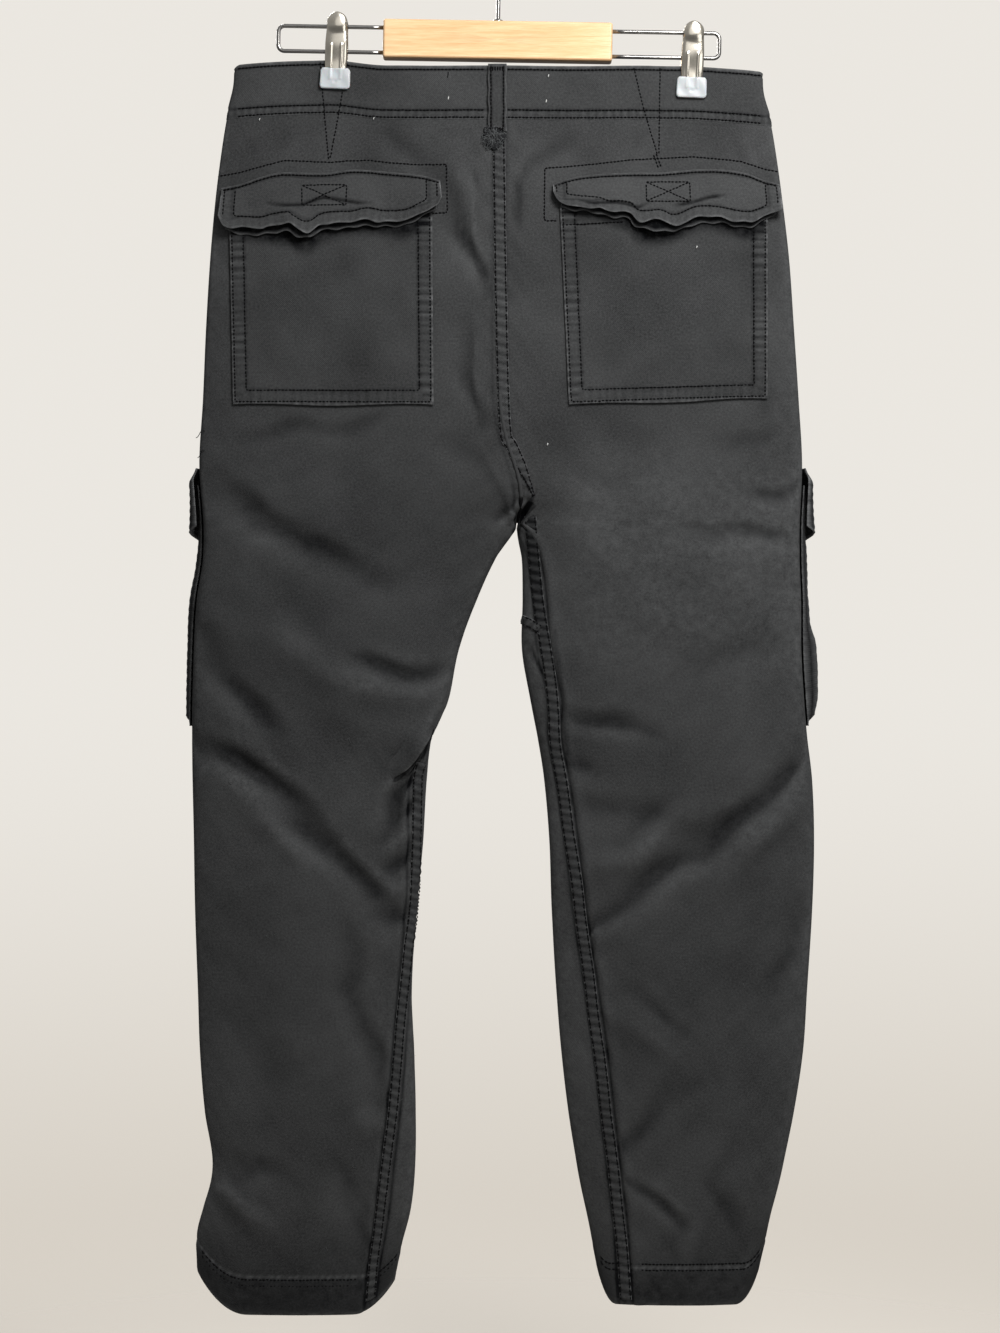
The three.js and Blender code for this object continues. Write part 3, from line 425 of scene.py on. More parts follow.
def gridQuads(rows, columns, start=0, flip=False, loopColumns=False):
    r = np.arange(rows - 1)[:, None]
    c = np.arange(columns if loopColumns else columns - 1)[None, :]
    c2 = (c + 1) % columns
    a, b = r * columns + c, r * columns + c2
    d, e = (r + 1) * columns + c, (r + 1) * columns + c2
    quads = np.stack([a, b, e, d] if not flip else [a, d, e, b], -1)
    return quads.reshape(-1, 4) + start


def volumeOf(points, quads):
    a, b, c, d = (points[quads[:, i]] for i in range(4))
    return (np.einsum("ij,ij->i", a, np.cross(b, c)) + np.einsum("ij,ij->i", a, np.cross(c, d))).sum()


def shellQuads(rows, columns):
    # two grids of points, face to face, and the rim that joins them
    layer = rows * columns
    ring = np.concatenate([
        np.arange(columns), np.arange(1, rows) * columns + columns - 1,
        (rows - 1) * columns + np.arange(columns - 2, -1, -1), np.arange(rows - 2, 0, -1) * columns,
    ])
    turned = np.roll(ring, -1)
    rim = np.stack([ring, ring + layer, turned + layer, turned], -1)
    return np.concatenate([gridQuads(rows, columns), gridQuads(rows, columns, layer, True), rim])


def makePiece(name, points, quads, material, slot, **attributes):
    # a closed piece whose faces look outwards, whichever way they were listed
    if volumeOf(points - points.mean(axis=0), quads) < 0:
        quads = quads[:, ::-1]
    obj = newMesh(name, points, quads, **attributes)
    obj.data.materials.append(materials[material])
    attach(obj, "root")
    return obj


def fromEdge(lengths, axis):
    # how far each point of a grid lies from the nearer of its two edges along one axis
    gone = np.concatenate([np.zeros_like(lengths.take([0], axis)), np.cumsum(lengths, axis)], axis)
    return np.minimum(gone, gone.take([-1], axis) - gone)


def clothShell(name, points, normals, out, thickness, wear=0.0, shade=0.0, edges="tblr", coords=None):
    # a closed thin shell with soft edges, whose outside lies out above the points
    rows, columns = points.shape[:2]
    across = fromEdge(np.linalg.norm(np.diff(points, axis=1), axis=-1), 1)
    down = fromEdge(np.linalg.norm(np.diff(points, axis=0), axis=-1), 0)
    near = np.full((rows, columns), 1e3)
    half = columns // 2
    if "l" in edges:
        near[:, :half] = np.minimum(near[:, :half], across[:, :half])
    if "r" in edges:
        near[:, half:] = np.minimum(near[:, half:], across[:, half:])
    if "t" in edges:
        near[:rows // 2] = np.minimum(near[:rows // 2], down[:rows // 2])
    if "b" in edges:
        near[rows // 2:] = np.minimum(near[rows // 2:], down[rows // 2:])
    soft = thickness * 0.75
    full = np.sqrt(np.clip(1 - (1 - np.clip(near / soft, 0.02, 1))**2, 0, 1))
    out = np.asarray(out, float) + np.zeros((rows, columns))
    middle = points + normals * (out - thickness / 2)[..., None]
    lift = (thickness / 2 * full)[..., None] * normals
    both = np.concatenate([(middle + lift).reshape(-1, 3), (middle - lift).reshape(-1, 3)])
    if coords is None:
        coords = np.stack([points[..., 0], points[..., 2], points[..., 1] * 0], -1)
    twice = lambda v: np.tile((np.asarray(v, float) + np.zeros((rows, columns))).ravel(), 2)
    return makePiece(
        name, both, shellQuads(rows, columns), "twill", "twill", cloth=np.tile(coords.reshape(-1, 3), (2, 1)),
        wear=twice(wear), shade=twice(shade),
    )


def fineEnds(count, length, edge=1.3):
    # places from 0 to 1, closer together at both ends so that an edge can be round
    near = np.array([0, 0.25, 0.6, 1]) * edge / length
    return np.concatenate([near, np.linspace(near[-1], 1 - near[-1], count)[1:-1], 1 - near[::-1]])


def tubeMesh(points, radius, sidesCount):
    points = np.array(points, float)
    ahead = np.gradient(points, axis=0)
    ahead /= np.linalg.norm(ahead, axis=1, keepdims=True)
    across = np.cross(ahead, [0.31, 0.9, 0.27])
    across /= np.linalg.norm(across, axis=1, keepdims=True)
    up = np.cross(across, ahead)
    angle = np.linspace(0, 2 * pi, sidesCount, endpoint=False)
    size = np.full(len(points), float(radius))
    ring = points[:, None] + size[:, None, None] * (
        np.cos(angle)[None, :, None] * across[:, None] + np.sin(angle)[None, :, None] * up[:, None])
    quads = gridQuads(len(points), sidesCount, 0, False, True)
    count = len(points) * sidesCount
    caps = []
    for i in range(0, sidesCount, 2):
        j, k = (i + 1) % sidesCount, (i + 2) % sidesCount
        caps.append([count, i, j, k])
        caps.append([count + 1, count - sidesCount + k, count - sidesCount + j, count - sidesCount + i])
    allPoints = np.concatenate([ring.reshape(-1, 3), points[:1], points[-1:]])
    return allPoints, np.concatenate([quads, np.array(caps)[:, ::-1]])


def tube(name, points, radius, sidesCount, material, slot):
    return makePiece(name, *tubeMesh(points, radius, sidesCount), material, slot)


# Materials
cloth = {
    "deep": (0.019, 0.0193, 0.0196), "pale": (0.068, 0.069, 0.0695), "worn": (0.16, 0.163, 0.164),
    "twillPitch": 0.85, "ribDepth": 0.48, "fuzzDepth": 0.5, "sheen": 0.02, "gloss": 0.02,
}
materials = {}


def nodeGroup(name, inputs, outputs):
    group = bpy.data.node_groups.new(name, "ShaderNodeTree")
    for kind, label, value in inputs:
        socket = group.interface.new_socket(label, in_out="INPUT", socket_type=kind)
        if value is not None:
            socket.default_value = value
    for kind, label in outputs:
        group.interface.new_socket(label, in_out="OUTPUT", socket_type=kind)
    start = group.nodes.new("NodeGroupInput")
    end = group.nodes.new("NodeGroupOutput")
    start.location, end.location = (-900, 0), (700, 0)
    return group, start, end


def addNode(tree, kind, at=(0, 0), **settings):
    node = tree.nodes.new(kind)
    node.location = at
    for key, value in settings.items():
        if key in node.inputs:
            node.inputs[key].default_value = value
        else:
            setattr(node, key, value)
    return node


def setInputs(node, values):
    for key, value in values.items():
        node.inputs[key].default_value = value


def mapRange(tree, value, fromRange=(0, 1), toRange=(0, 1), at=(0, 0), curve="LINEAR"):
    node = addNode(tree, "ShaderNodeMapRange", at, interpolation_type=curve)
    setInputs(node, dict(zip(("From Min", "From Max", "To Min", "To Max"), (*fromRange, *toRange))))
    tree.links.new(value, node.inputs["Value"])
    return node.outputs[0]


def mathNode(tree, operation, values, at=(0, 0), clamp=False):
    node = addNode(tree, "ShaderNodeMath", at, operation=operation, use_clamp=clamp)
    for i, value in enumerate(values):
        if isinstance(value, (int, float)):
            node.inputs[i].default_value = value
        else:
            tree.links.new(value, node.inputs[i])
    return node.outputs[0]


def mixColour(tree, factor, a, b, at=(0, 0), blend="MIX"):
    node = addNode(tree, "ShaderNodeMix", at, data_type="RGBA", blend_type=blend)
    for i, value in ((0, factor), (6, a), (7, b)):
        if isinstance(value, (int, float)):
            node.inputs[i].default_value = value
        elif isinstance(value, tuple):
            node.inputs[i].default_value = (*value, 1)
        else:
            tree.links.new(value, node.inputs[i])
    return node.outputs[2]


def twillWeaveGroup():
    # the height of a twill: diagonal ribs broken by the crossing yarns, with a fuzz of fibre ends
    g, start, end = nodeGroup(
        "twillWeave",
        [("NodeSocketVector", "Coordinates", None), ("NodeSocketFloat", "Pitch", 0.85),
         ("NodeSocketFloat", "Rib", 1.0), ("NodeSocketFloat", "Fuzz", 1.0)],
        [("NodeSocketFloat", "Height")],
    )
    scaled = addNode(g, "ShaderNodeVectorMath", (-700, 0), operation="DIVIDE")
    g.links.new(start.outputs["Coordinates"], scaled.inputs[0])
    g.links.new(start.outputs["Pitch"], scaled.inputs[1])
    ribs = addNode(g, "ShaderNodeTexWave", (-450, 150), wave_type="BANDS", bands_direction="DIAGONAL",
                   Scale=0.32, Distortion=1.1, Detail=1.5)
    ribs.inputs["Detail Scale"].default_value = 1.6
    yarn = addNode(g, "ShaderNodeTexNoise", (-450, -150), Scale=1.4, Detail=2.0, Roughness=0.6)
    fuzz = addNode(g, "ShaderNodeTexNoise", (-450, -400), Scale=0.45, Detail=5.0, Roughness=0.75)
    for node in (ribs, yarn, fuzz):
        g.links.new(scaled.outputs[0], node.inputs["Vector"])
    broken = mathNode(g, "MULTIPLY", (ribs.outputs["Fac"], yarn.outputs["Fac"]), (-200, 50))
    rib = mathNode(g, "MULTIPLY", (broken, start.outputs["Rib"]), (0, 50))
    hair = mathNode(g, "MULTIPLY", (fuzz.outputs["Fac"], start.outputs["Fuzz"]), (0, -250))
    g.links.new(mathNode(g, "ADD", (rib, hair), (250, 0)), end.inputs["Height"])
    return g


def washedDyeGroup():
    # dye that has washed out unevenly in tone and grain; paler with wear and with painted light, and darkened
    # towards near black by painted shade
    g, start, end = nodeGroup(
        "washedDye",
        [("NodeSocketVector", "Coordinates", None), ("NodeSocketColor", "Deep", (0.03, 0.03, 0.03, 1)),
         ("NodeSocketColor", "Pale", (0.06, 0.06, 0.06, 1)), ("NodeSocketColor", "Worn", (0.15, 0.15, 0.15, 1)),
         ("NodeSocketFloat", "Wear", 0.0), ("NodeSocketFloat", "Shade", 0.0)],
        [("NodeSocketColor", "Colour")],
    )
    tone = addNode(g, "ShaderNodeTexNoise", (-650, 300), Scale=0.011, Detail=3.0, Roughness=0.55)
    speck = addNode(g, "ShaderNodeTexNoise", (-650, 50), Scale=0.55, Detail=4.0, Roughness=0.7)
    patch = addNode(g, "ShaderNodeTexNoise", (-650, -250), Scale=0.14, Detail=4.0, Roughness=0.65)
    for node in (tone, speck, patch):
        g.links.new(start.outputs["Coordinates"], node.inputs["Vector"])
    mixed = mathNode(g, "MULTIPLY", (tone.outputs["Fac"], 0.9), (-400, 300))
    grain = mathNode(g, "MULTIPLY_ADD", (speck.outputs["Fac"], 1.5, -0.72), (-400, 100))
    both = mathNode(g, "ADD", (mixed, grain), (-200, 200), clamp=True)
    base = mixColour(g, both, start.outputs["Deep"], start.outputs["Pale"], (0, 200))
    cloudy = mathNode(g, "MULTIPLY_ADD", (patch.outputs["Fac"], 1.5, 0.28), (-400, -50))
    shaded = mathNode(g, "MULTIPLY", (start.outputs["Shade"], cloudy), (-200, -50), clamp=True)
    # painted shade mixes the colour towards this near black
    darker = mixColour(g, shaded, base, (0.0035, 0.0037, 0.0042), (200, 200))
    broken = mathNode(g, "MULTIPLY_ADD", (patch.outputs["Fac"], 2.6, -0.75), (-400, -250))
    paledByWearAndLight = mathNode(g, "MULTIPLY", (start.outputs["Wear"], broken), (-200, -200), clamp=True)
    g.links.new(mixColour(g, paledByWearAndLight, darker, start.outputs["Worn"], (420, 100)), end.inputs["Colour"])
    return g


def fineGrainGroup():
    # long soft streaks, for sawn wood, brushed metal and moulded plastic
    g, start, end = nodeGroup(
        "fineGrain",
        [("NodeSocketVector", "Stretch", (1, 1, 1)), ("NodeSocketFloat", "Scale", 40.0),
         ("NodeSocketFloat", "Contrast", 1.0)],
        [("NodeSocketFloat", "Grain")],
    )
    where = addNode(g, "ShaderNodeTexCoord", (-800, -200))
    stretched = addNode(g, "ShaderNodeVectorMath", (-600, 0), operation="MULTIPLY")
    g.links.new(where.outputs["Object"], stretched.inputs[0])
    g.links.new(start.outputs["Stretch"], stretched.inputs[1])
    noise = addNode(g, "ShaderNodeTexNoise", (-350, 0), Detail=5.0, Roughness=0.6, Distortion=0.4)
    g.links.new(stretched.outputs[0], noise.inputs["Vector"])
    g.links.new(start.outputs["Scale"], noise.inputs["Scale"])
    centred = mathNode(g, "SUBTRACT", (noise.outputs["Fac"], 0.5), (-100, 0))
    strong = mathNode(g, "MULTIPLY", (centred, start.outputs["Contrast"]), (100, 0))
    g.links.new(mathNode(g, "ADD", (strong, 0.5), (300, 0), clamp=True), end.inputs["Grain"])
    return g


groups = {"weave": twillWeaveGroup(), "dye": washedDyeGroup(), "grain": fineGrainGroup()}


def newMaterial(name):
    material = bpy.data.materials.new(name)
    material.use_nodes = True
    tree = material.node_tree
    shader = tree.nodes["Principled BSDF"]
    materials[name] = material
    return tree, shader


def attributeNode(tree, name, at=(-900, 0)):
    return addNode(tree, "ShaderNodeAttribute", at, attribute_name=name, attribute_type="GEOMETRY")


def bumpInto(tree, shader, height, distance, strength=1.0):
    bump = addNode(tree, "ShaderNodeBump", (-200, -300), Distance=distance, Strength=strength)
    tree.links.new(height, bump.inputs["Height"])
    tree.links.new(bump.outputs[0], shader.inputs["Normal"])


def twillMaterial():
    tree, shader = newMaterial("twill")
    coords = attributeNode(tree, "cloth", (-1100, 0))
    wear = attributeNode(tree, "wear", (-1100, 250))
    shade = attributeNode(tree, "shade", (-1100, 450))
    dye = addNode(tree, "ShaderNodeGroup", (-700, 200), node_tree=groups["dye"])
    setInputs(dye, {key: (*cloth[key.lower()], 1) for key in ("Deep", "Pale", "Worn")})
    tree.links.new(coords.outputs["Vector"], dye.inputs["Coordinates"])
    tree.links.new(wear.outputs["Fac"], dye.inputs["Wear"])
    tree.links.new(shade.outputs["Fac"], dye.inputs["Shade"])
    tree.links.new(dye.outputs["Colour"], shader.inputs["Base Color"])
    weave = addNode(tree, "ShaderNodeGroup", (-700, -200), node_tree=groups["weave"])
    setInputs(weave, {"Pitch": cloth["twillPitch"], "Rib": cloth["ribDepth"], "Fuzz": cloth["fuzzDepth"]})
    tree.links.new(coords.outputs["Vector"], weave.inputs["Coordinates"])
    bumpInto(tree, shader, weave.outputs["Height"], 0.0006, 0.8)
    setInputs(shader, {
        "Roughness": 0.92, "Specular IOR Level": cloth["gloss"], "Sheen Weight": cloth["sheen"],
        "Sheen Roughness": 0.45, "Sheen Tint": (0.8, 0.8, 0.82, 1),
    })


def grainOf(tree, scale, contrast=1.0, stretch=(1, 1, 1), at=(-800, 0)):
    grain = addNode(tree, "ShaderNodeGroup", at, node_tree=groups["grain"])
    setInputs(grain, {"Stretch": stretch, "Scale": scale, "Contrast": contrast})
    return grain.outputs["Grain"]


def grainyMaterial(name, dark, light, scale, contrast=1.0, bump=None):
    # one colour streaked with another, and a bump of that depth and strength
    tree, shader = newMaterial(name)
    grain = grainOf(tree, scale, contrast)
    tree.links.new(mixColour(tree, grain, dark, light, (-500, 100)), shader.inputs["Base Color"])
    if bump:
        bumpInto(tree, shader, grain, *bump)
    return tree, shader, grain


def threadMaterial(name, colour, pale):
    _, shader, _ = grainyMaterial(name, colour, pale, 900, 1.6, (0.0003, 0.6))
    setInputs(shader, {"Roughness": 0.85, "Specular IOR Level": 0.06})


def woodMaterial():
    tree, shader = newMaterial("paleWood")
    streak = grainOf(tree, 26, 2.2, (0.6, 9, 12), (-900, 100))
    pore = grainOf(tree, 60, 3.0, (1.2, 26, 30), (-900, -200))
    base = mixColour(tree, streak, (0.72, 0.42, 0.20), (0.88, 0.63, 0.37), (-600, 100))
    fine = mixColour(tree, pore, (0.88, 0.83, 0.76), (1.0, 1.0, 1.0), (-600, -100))
    tree.links.new(mixColour(tree, 1.0, base, fine, (-300, 100), "MULTIPLY"), shader.inputs["Base Color"])
    bumpInto(tree, shader, pore, 0.0002, 0.5)
    setInputs(shader, {"Roughness": 0.42, "Coat Weight": 0.25, "Coat Roughness": 0.25})


def steelMaterial(name, dull, bright, smooth, rough):
    tree, shader, grain = grainyMaterial(name, dull, bright, 160, 0.9)
    tree.links.new(mapRange(tree, grain, toRange=(smooth, rough), at=(-500, -150)), shader.inputs["Roughness"])
    setInputs(shader, {"Metallic": 1.0})


def softTipMaterial():
    _, shader, _ = grainyMaterial("milkyPlastic", (0.50, 0.53, 0.55), (0.66, 0.68, 0.69), 90, 1.2, (0.0002, 0.4))
    setInputs(shader, {
        "Roughness": 0.38, "Transmission Weight": 0.25, "Subsurface Weight": 0.15, "Subsurface Scale": 0.003,
    })


def buttonMaterial():
    _, shader, _ = grainyMaterial(
        "buttonPlastic", (0.016, 0.016, 0.017), (0.03, 0.03, 0.032), 240, bump=(0.0001, 0.4),
    )
    setInputs(shader, {"Roughness": 0.4})


twillMaterial()
threadMaterial("blackThread", (0.0022, 0.0022, 0.0025), (0.0065, 0.0066, 0.007))
threadMaterial("mattedThread", (0.003, 0.0031, 0.0034), (0.026, 0.027, 0.028))
threadMaterial("frayedThread", (0.025, 0.026, 0.027), (0.14, 0.145, 0.147))
threadMaterial("whiteThread", (0.42, 0.42, 0.40), (0.72, 0.72, 0.70))
woodMaterial()
steelMaterial("platedSteel", (0.30, 0.29, 0.275), (0.40, 0.385, 0.37), 0.16, 0.3)
steelMaterial("clipSteel", (0.72, 0.65, 0.54), (0.84, 0.79, 0.69), 0.12, 0.24)
softTipMaterial()
buttonMaterial()
print("materials made:", len(materials))


def foldTone(points, normals):
    # how the grid bends: above 0 on the ridges and below in the troughs, for painted light on the ridges and
    # painted shade in the troughs
    bend = np.zeros(points.shape[:2])
    for axis in (0, 1):
        p = np.moveaxis(points, axis, 0)
        curl = np.zeros(p.shape[:2])
        step = 4
        ahead, behind, here = p[2 * step:], p[:-2 * step], p[step:-step]
        n = np.moveaxis(normals, axis, 0)[step:-step]
        span = np.linalg.norm(ahead - behind, axis=-1)
        curl[step:-step] = -np.einsum("ijk,ijk->ij", ahead + behind - 2 * here, n) / np.maximum(span, 1)**2 * 400
        bend += np.moveaxis(curl, 0, axis)
    return bend


# The four panels
panel = {
    "thickness": 1.0, "backRows": 395, "backColumns": 98, "frontRows": 190, "frontColumns": 66,
    "hemHeight": 30, "sharpAt": (-498, -704), "flat": {
        "back_panel_left": (0.30, 1.03, 0.236), "front_panel_left": (0.28, 1.03, 0.222),
        "back_panel_right": (0.30, 1.03, 0.228), "front_panel_right": (0.29, 1.03, 0.238),
    },
}


def seamAngles(side, z):
    outer, inner, half, turn, split = section(side, z)
    start = -np.arccos(1 - garment["sideSeamInset"] / np.abs(half))
    offset = sides[side]["seam"](z)
    width = np.abs(inner - outer)
    toInner = np.arccos(np.clip(1 - (width - np.abs(offset)) / np.abs(half), -1, 1))
    end = np.where(split, np.where(offset >= 0, toInner, 2 * pi - toInner), turn)
    frontEnd = np.where(split, end - 2 * pi, -turn)
    return start, end, frontEnd


def panelLevels(hem, count):
    # the rows lie closer together where folds are sharp
    fine = np.linspace(garment["waistSeam"] + 3, hem, 4000)
    gone = np.cumsum(1 + sum(1.3 * bell(fine, z, 28, 4) for z in panel["sharpAt"]))
    return np.interp(np.linspace(gone[0], gone[-1], count), gone, fine)


def makePanel(side, face):
    name = f"{face}_panel_{side}"
    rows, columns = panel[face + "Rows"], panel[face + "Columns"]
    hem = sides[side]["hem"]
    z = panelLevels(hem, rows)[:, None]
    start, end, frontEnd = seamAngles(side, z)
    t = np.concatenate([np.linspace(0, 0.03, 8)[:-1], np.linspace(0.03, 0.945, columns - 24),
                        np.linspace(0.945, 1, 18)[1:]])[None, :]
    angle = start + (end - start) * t if face == "back" else start + (frontEnd - start) * t
    points, normals = skin(side, z + 0 * t, angle)
    up = (z + 0 * t) - hem
    turnUp = 1 - rise(panel["hemHeight"] - 1, panel["hemHeight"] + 1.5, up)
    arc = np.cumsum(np.linalg.norm(np.diff(points, axis=1, prepend=points[:, :1]), axis=-1), axis=1)
    ladder = np.sin(2 * pi * arc / 7.5 + 3 * np.sin(arc / 23)) * bell(up, 28, 8)
    out = 0.5 * turnUp + 0.3 * ladder - 0.5 * bell(up, panel["hemHeight"], 2.2)
    # the cloth rises and puckers beside the sewn edges
    for edge in (arc, arc[:, -1:] - arc):
        out = out + 0.35 * np.sin(2 * pi * z / 8.3 + 2 * np.sin(z / 31)) * bell(edge, 0, 7)
    inner = arc[:, -1:] - arc
    split = 1 - rise(-505, -470, z)
    if face == "back":
        out = out + split * (1.5 * bell(inner, 10.5, 3.6) - 0.6 * bell(inner, 5.8, 1.0))
        out = out + dartPucker(points[..., 0], z + 0 * arc)
    bend = foldTone(points, normals)
    # painted light on the fold ridges and painted shade in the fold troughs; darker towards the hems
    wear = np.clip(bend * 0.035, 0, 0.22) + 0.6 * bell(up, 0, 2.0)
    shade = np.clip(-bend * 0.085, 0, 0.5) + 0.05 * rise(-700, -1000, z) + 0.35 * rise(-1060, -1160, z)
    # painted shade in the groove beside the inseam, and darker over the hem's turn-up
    shade = shade + (0.3 + 0.4 * split) * bell(inner, 5.8, 1.4) + 0.2 * turnUp
    # the worn edge at the top of the turn-up, with painted light on the pucker crests
    wear = wear + 0.35 * bell(up - panel["hemHeight"], 1.3, 1.0) * (0.8 + 0.5 * ladder)
    wear = wear + 0.6 * bell(arc, 0, 1.0) * rise(-735, -715, z) * (1 - rise(-575, -550, z))
    # painted shadow in the crotch slit and the knee wedge, on the side that faces back
    shade = np.maximum(shade, creaseShade(points[..., 0], points[..., 2]) * (points[..., 1] < 0))
    # painted light on the right thigh and painted shade on the left thigh
    thigh = bell(points[..., 2], -545, 95, 4)
    if side == "right":
        wear = wear + 0.15 * thigh * rise(30, 90, points[..., 0])
    else:
        shade = shade + 0.12 * thigh
    coords = np.stack([arc * (1 if side == "right" else -1), z + 0 * arc, 0 * arc], -1)
    obj = clothShell(name + "_cloth", points, normals, out, panel["thickness"], wear, shade, "b", coords)
    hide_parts(name)


for side in ("left", "right"):
    for face in ("back", "front"):
        makePanel(side, face)

kneeFold = {
    "edge": [(-54.5, -677), (-58.5, -684), (-62.6, -690.7), (-67.5, -699), (-74, -708), (-82.3, -716.2),
             (-90, -723)],
    "reach": 17, "lift": 4.6, "rows": 70, "columns": 30, "thickness": 0.9,
}


def makeKneeFold():
    # the back panel folds over itself here, and the fold's edge stands clear of the seam below it
    f = kneeFold
    edge, gone = smoothPath(f["edge"])
    s = np.linspace(0, 1, f["rows"])
    share = gone / gone[-1]
    ex, ez = np.interp(s, share, edge[:, 0]), np.interp(s, share, edge[:, 1])
    dx, dz = np.gradient(ex), np.gradient(ez)
    length = np.hypot(dx, dz)
    t = np.linspace(0, 1, f["columns"])**0.8
    back = f["reach"] * (1 - t)[None, :]
    x = ex[:, None] + back * (dz / length)[:, None]
    z = ez[:, None] - back * (dx / length)[:, None]
    points, normals = facePoint(x, z, "back")
    ends = (0.35 + 0.65 * rise(0, 0.3, s)) * (1 - rise(0.72, 1, s))
    out = -0.25 + f["lift"] * t[None, :]**1.8 * ends[:, None]
    wear = 0.5 * bell(back, 0, 0.8) * ends[:, None]
    clothShell("knee_fold_left", points, normals, out, f["thickness"], wear, edges="r")


makeKneeFold()
print("panels made")


# Sewing. Each stitch is a short length of thread, and rows of them are gathered by piece.
stitch = {"pitch": 3.0, "gap": 0.3, "half": 0.72, "height": 0.5, "proud": 0.28}
sewn = {}


def addStitches(group, a, b, normal, half=stitch["half"]):
    # a and b are the ends of the stitches, one row each
    along = b - a
    length = np.linalg.norm(along, axis=-1, keepdims=True)
    along = along / np.maximum(length, 1e-6)
    sideways = np.cross(along, normal)
    sideways /= np.maximum(np.linalg.norm(sideways, axis=-1, keepdims=True), 1e-6)
    up = np.cross(sideways, along)
    rings = []
    for t, size, lift in ((0.0, 0.45, -0.25), (0.5, 1.0, stitch["proud"]), (1.0, 0.45, -0.25)):
        centre = a + (b - a) * t + up * lift
        for turn in (0, 0.5, 1, 1.5):
            offset = math.cos(turn * pi) * sideways * half + math.sin(turn * pi) * up * stitch["height"]
            rings.append(centre + offset * size)
    sewn.setdefault(group, []).append(np.stack(rings, 1))


def sewRow(group, place, start, end, offset=0.0, pitch=stitch["pitch"], half=stitch["half"]):
    s = np.arange(start, end - pitch + 0.01, pitch)
    if not len(s):
        return
    s = s + rng.normal(0, 0.06, len(s))
    wander = offset + rng.normal(0, 0.08, len(s))
    a, n = place(s + stitch["gap"] / 2, wander)
    b, _ = place(s + pitch - stitch["gap"] / 2, wander)
    addStitches(group, a, b, n, half)


def finishSewing(group):
    # each stitch has three rings of four points and a face at each end
    rings = np.concatenate(sewn.pop(group))
    base = (np.arange(len(rings)) * 12)[:, None, None]
    one = np.concatenate([gridQuads(3, 4, 0, True, True), [[0, 1, 2, 3], [11, 10, 9, 8]]])
    makePiece(group, rings.reshape(-1, 3), (one[None] + base).reshape(-1, 4), "blackThread", "twill")


def onFacePath(points, face, lift=0.0, corners=False):
    # a place finder for a path over one face: how far along, and how far to its right
    if corners:
        dense = np.array(points, float)
        gone = np.concatenate([[0], np.cumsum(np.hypot(*np.diff(dense, axis=0).T))])
        s = np.linspace(0, gone[-1], max(int(gone[-1] / 1.5), 4))
        dense = np.stack([np.interp(s, gone, dense[:, 0]), np.interp(s, gone, dense[:, 1])], -1)
        gone = s
    else:
        dense, gone = smoothPath(points)
    ahead = np.gradient(dense, gone, axis=0)
    ahead /= np.linalg.norm(ahead, axis=1, keepdims=True)

    def place(s, offset=0.0):
        x, z = np.interp(s, gone, dense[:, 0]), np.interp(s, gone, dense[:, 1])
        ux, uz = np.interp(s, gone, ahead[:, 0]), np.interp(s, gone, ahead[:, 1])
        x, z = x + uz * offset, z - ux * offset
        return facePoint(x, z, face, lift(x, z) if callable(lift) else lift)
    return place, gone[-1]


def sewAlong(group, path, face, lift=0.0, corners=False, ends=0, offsets=(0.0,), **stitching):
    # rows of stitches along one path, begun and ended a little way in
    place, length = onFacePath(path, face, lift, corners)
    for offset in offsets:
        sewRow(group, place, ends, length - ends, offset, **stitching)


# Felled seams: a flat raised band sewn down with two rows of stitches
felled = {
    "width": 10.4, "thickness": 1.1, "rise": 0.75, "pucker": 0.34, "puckerPitch": 7.2, "rows": 4.1, "step": 1.85,
}


def lifted(placed, out):
    points, normals = placed
    return points + normals * out, normals


def felledSeam(name, place, length, wear=0.45, narrow=1.0, dark=0.0, pointed=0):
    # narrow makes the whole band slimmer, pointed brings its end to a point on its left, and dark paints shade over
    # the band, more of it up towards the crotch
    f = felled
    s = np.linspace(0, length, max(int(length / f["step"]), 8))[:, None]
    half = np.array([0.15, 0.45, 0.66, 0.78, 0.88, 0.95, 1])
    across = np.concatenate([-half[::-1], half])[None, :]

    def narrowed(q, o):
        ends = 0.12 + 0.88 * rise(0, pointed, length - q) if pointed else 1.0
        return place(q, o * narrow * ends - (1 - ends) * f["width"] * 0.42)

    offset = across * f["width"] / 2
    points, normals = narrowed(s + 0 * offset, offset + 0 * s)
    ladder = np.sin(2 * pi * s / f["puckerPitch"] + 1.5 * np.sin(s / 19.0) + 1.2 * across)
    swell = bell(np.abs(across), 2 * f["rows"] / f["width"], 0.12)
    crown = 0.22 * (1 - across**2) + f["pucker"] * ladder * (0.35 + np.abs(across)) - 0.3 * swell
    # worn edges, with painted light on the pucker crests; painted shade in the grooves by the rows and in the
    # pucker hollows
    edgeWear = wear * (0.2 + 1.1 * np.abs(across)**6 + 0.3 * np.clip(ladder, 0, 1)) * (0.75 + 0.4 * ladder)
    shade = 0.55 * swell + np.clip(-0.4 * ladder, 0, 1) + dark * (1 + 2.2 * rise(-640, -550, points[..., 2]))
    shade = np.maximum(shade, creaseShade(points[..., 0], points[..., 2]) * (points[..., 1] < 0))
    coords = np.stack([offset + 0 * s, s + 0 * offset, 0 * (s + offset)], -1)
    clothShell(name, points, normals, f["rise"] + crown, f["thickness"], edgeWear, shade, coords=coords)
    for row in (-f["rows"], f["rows"]):
        sewRow("stitches_" + name, lambda q, o: lifted(narrowed(q, o), f["rise"]), 1, length - 1, row)


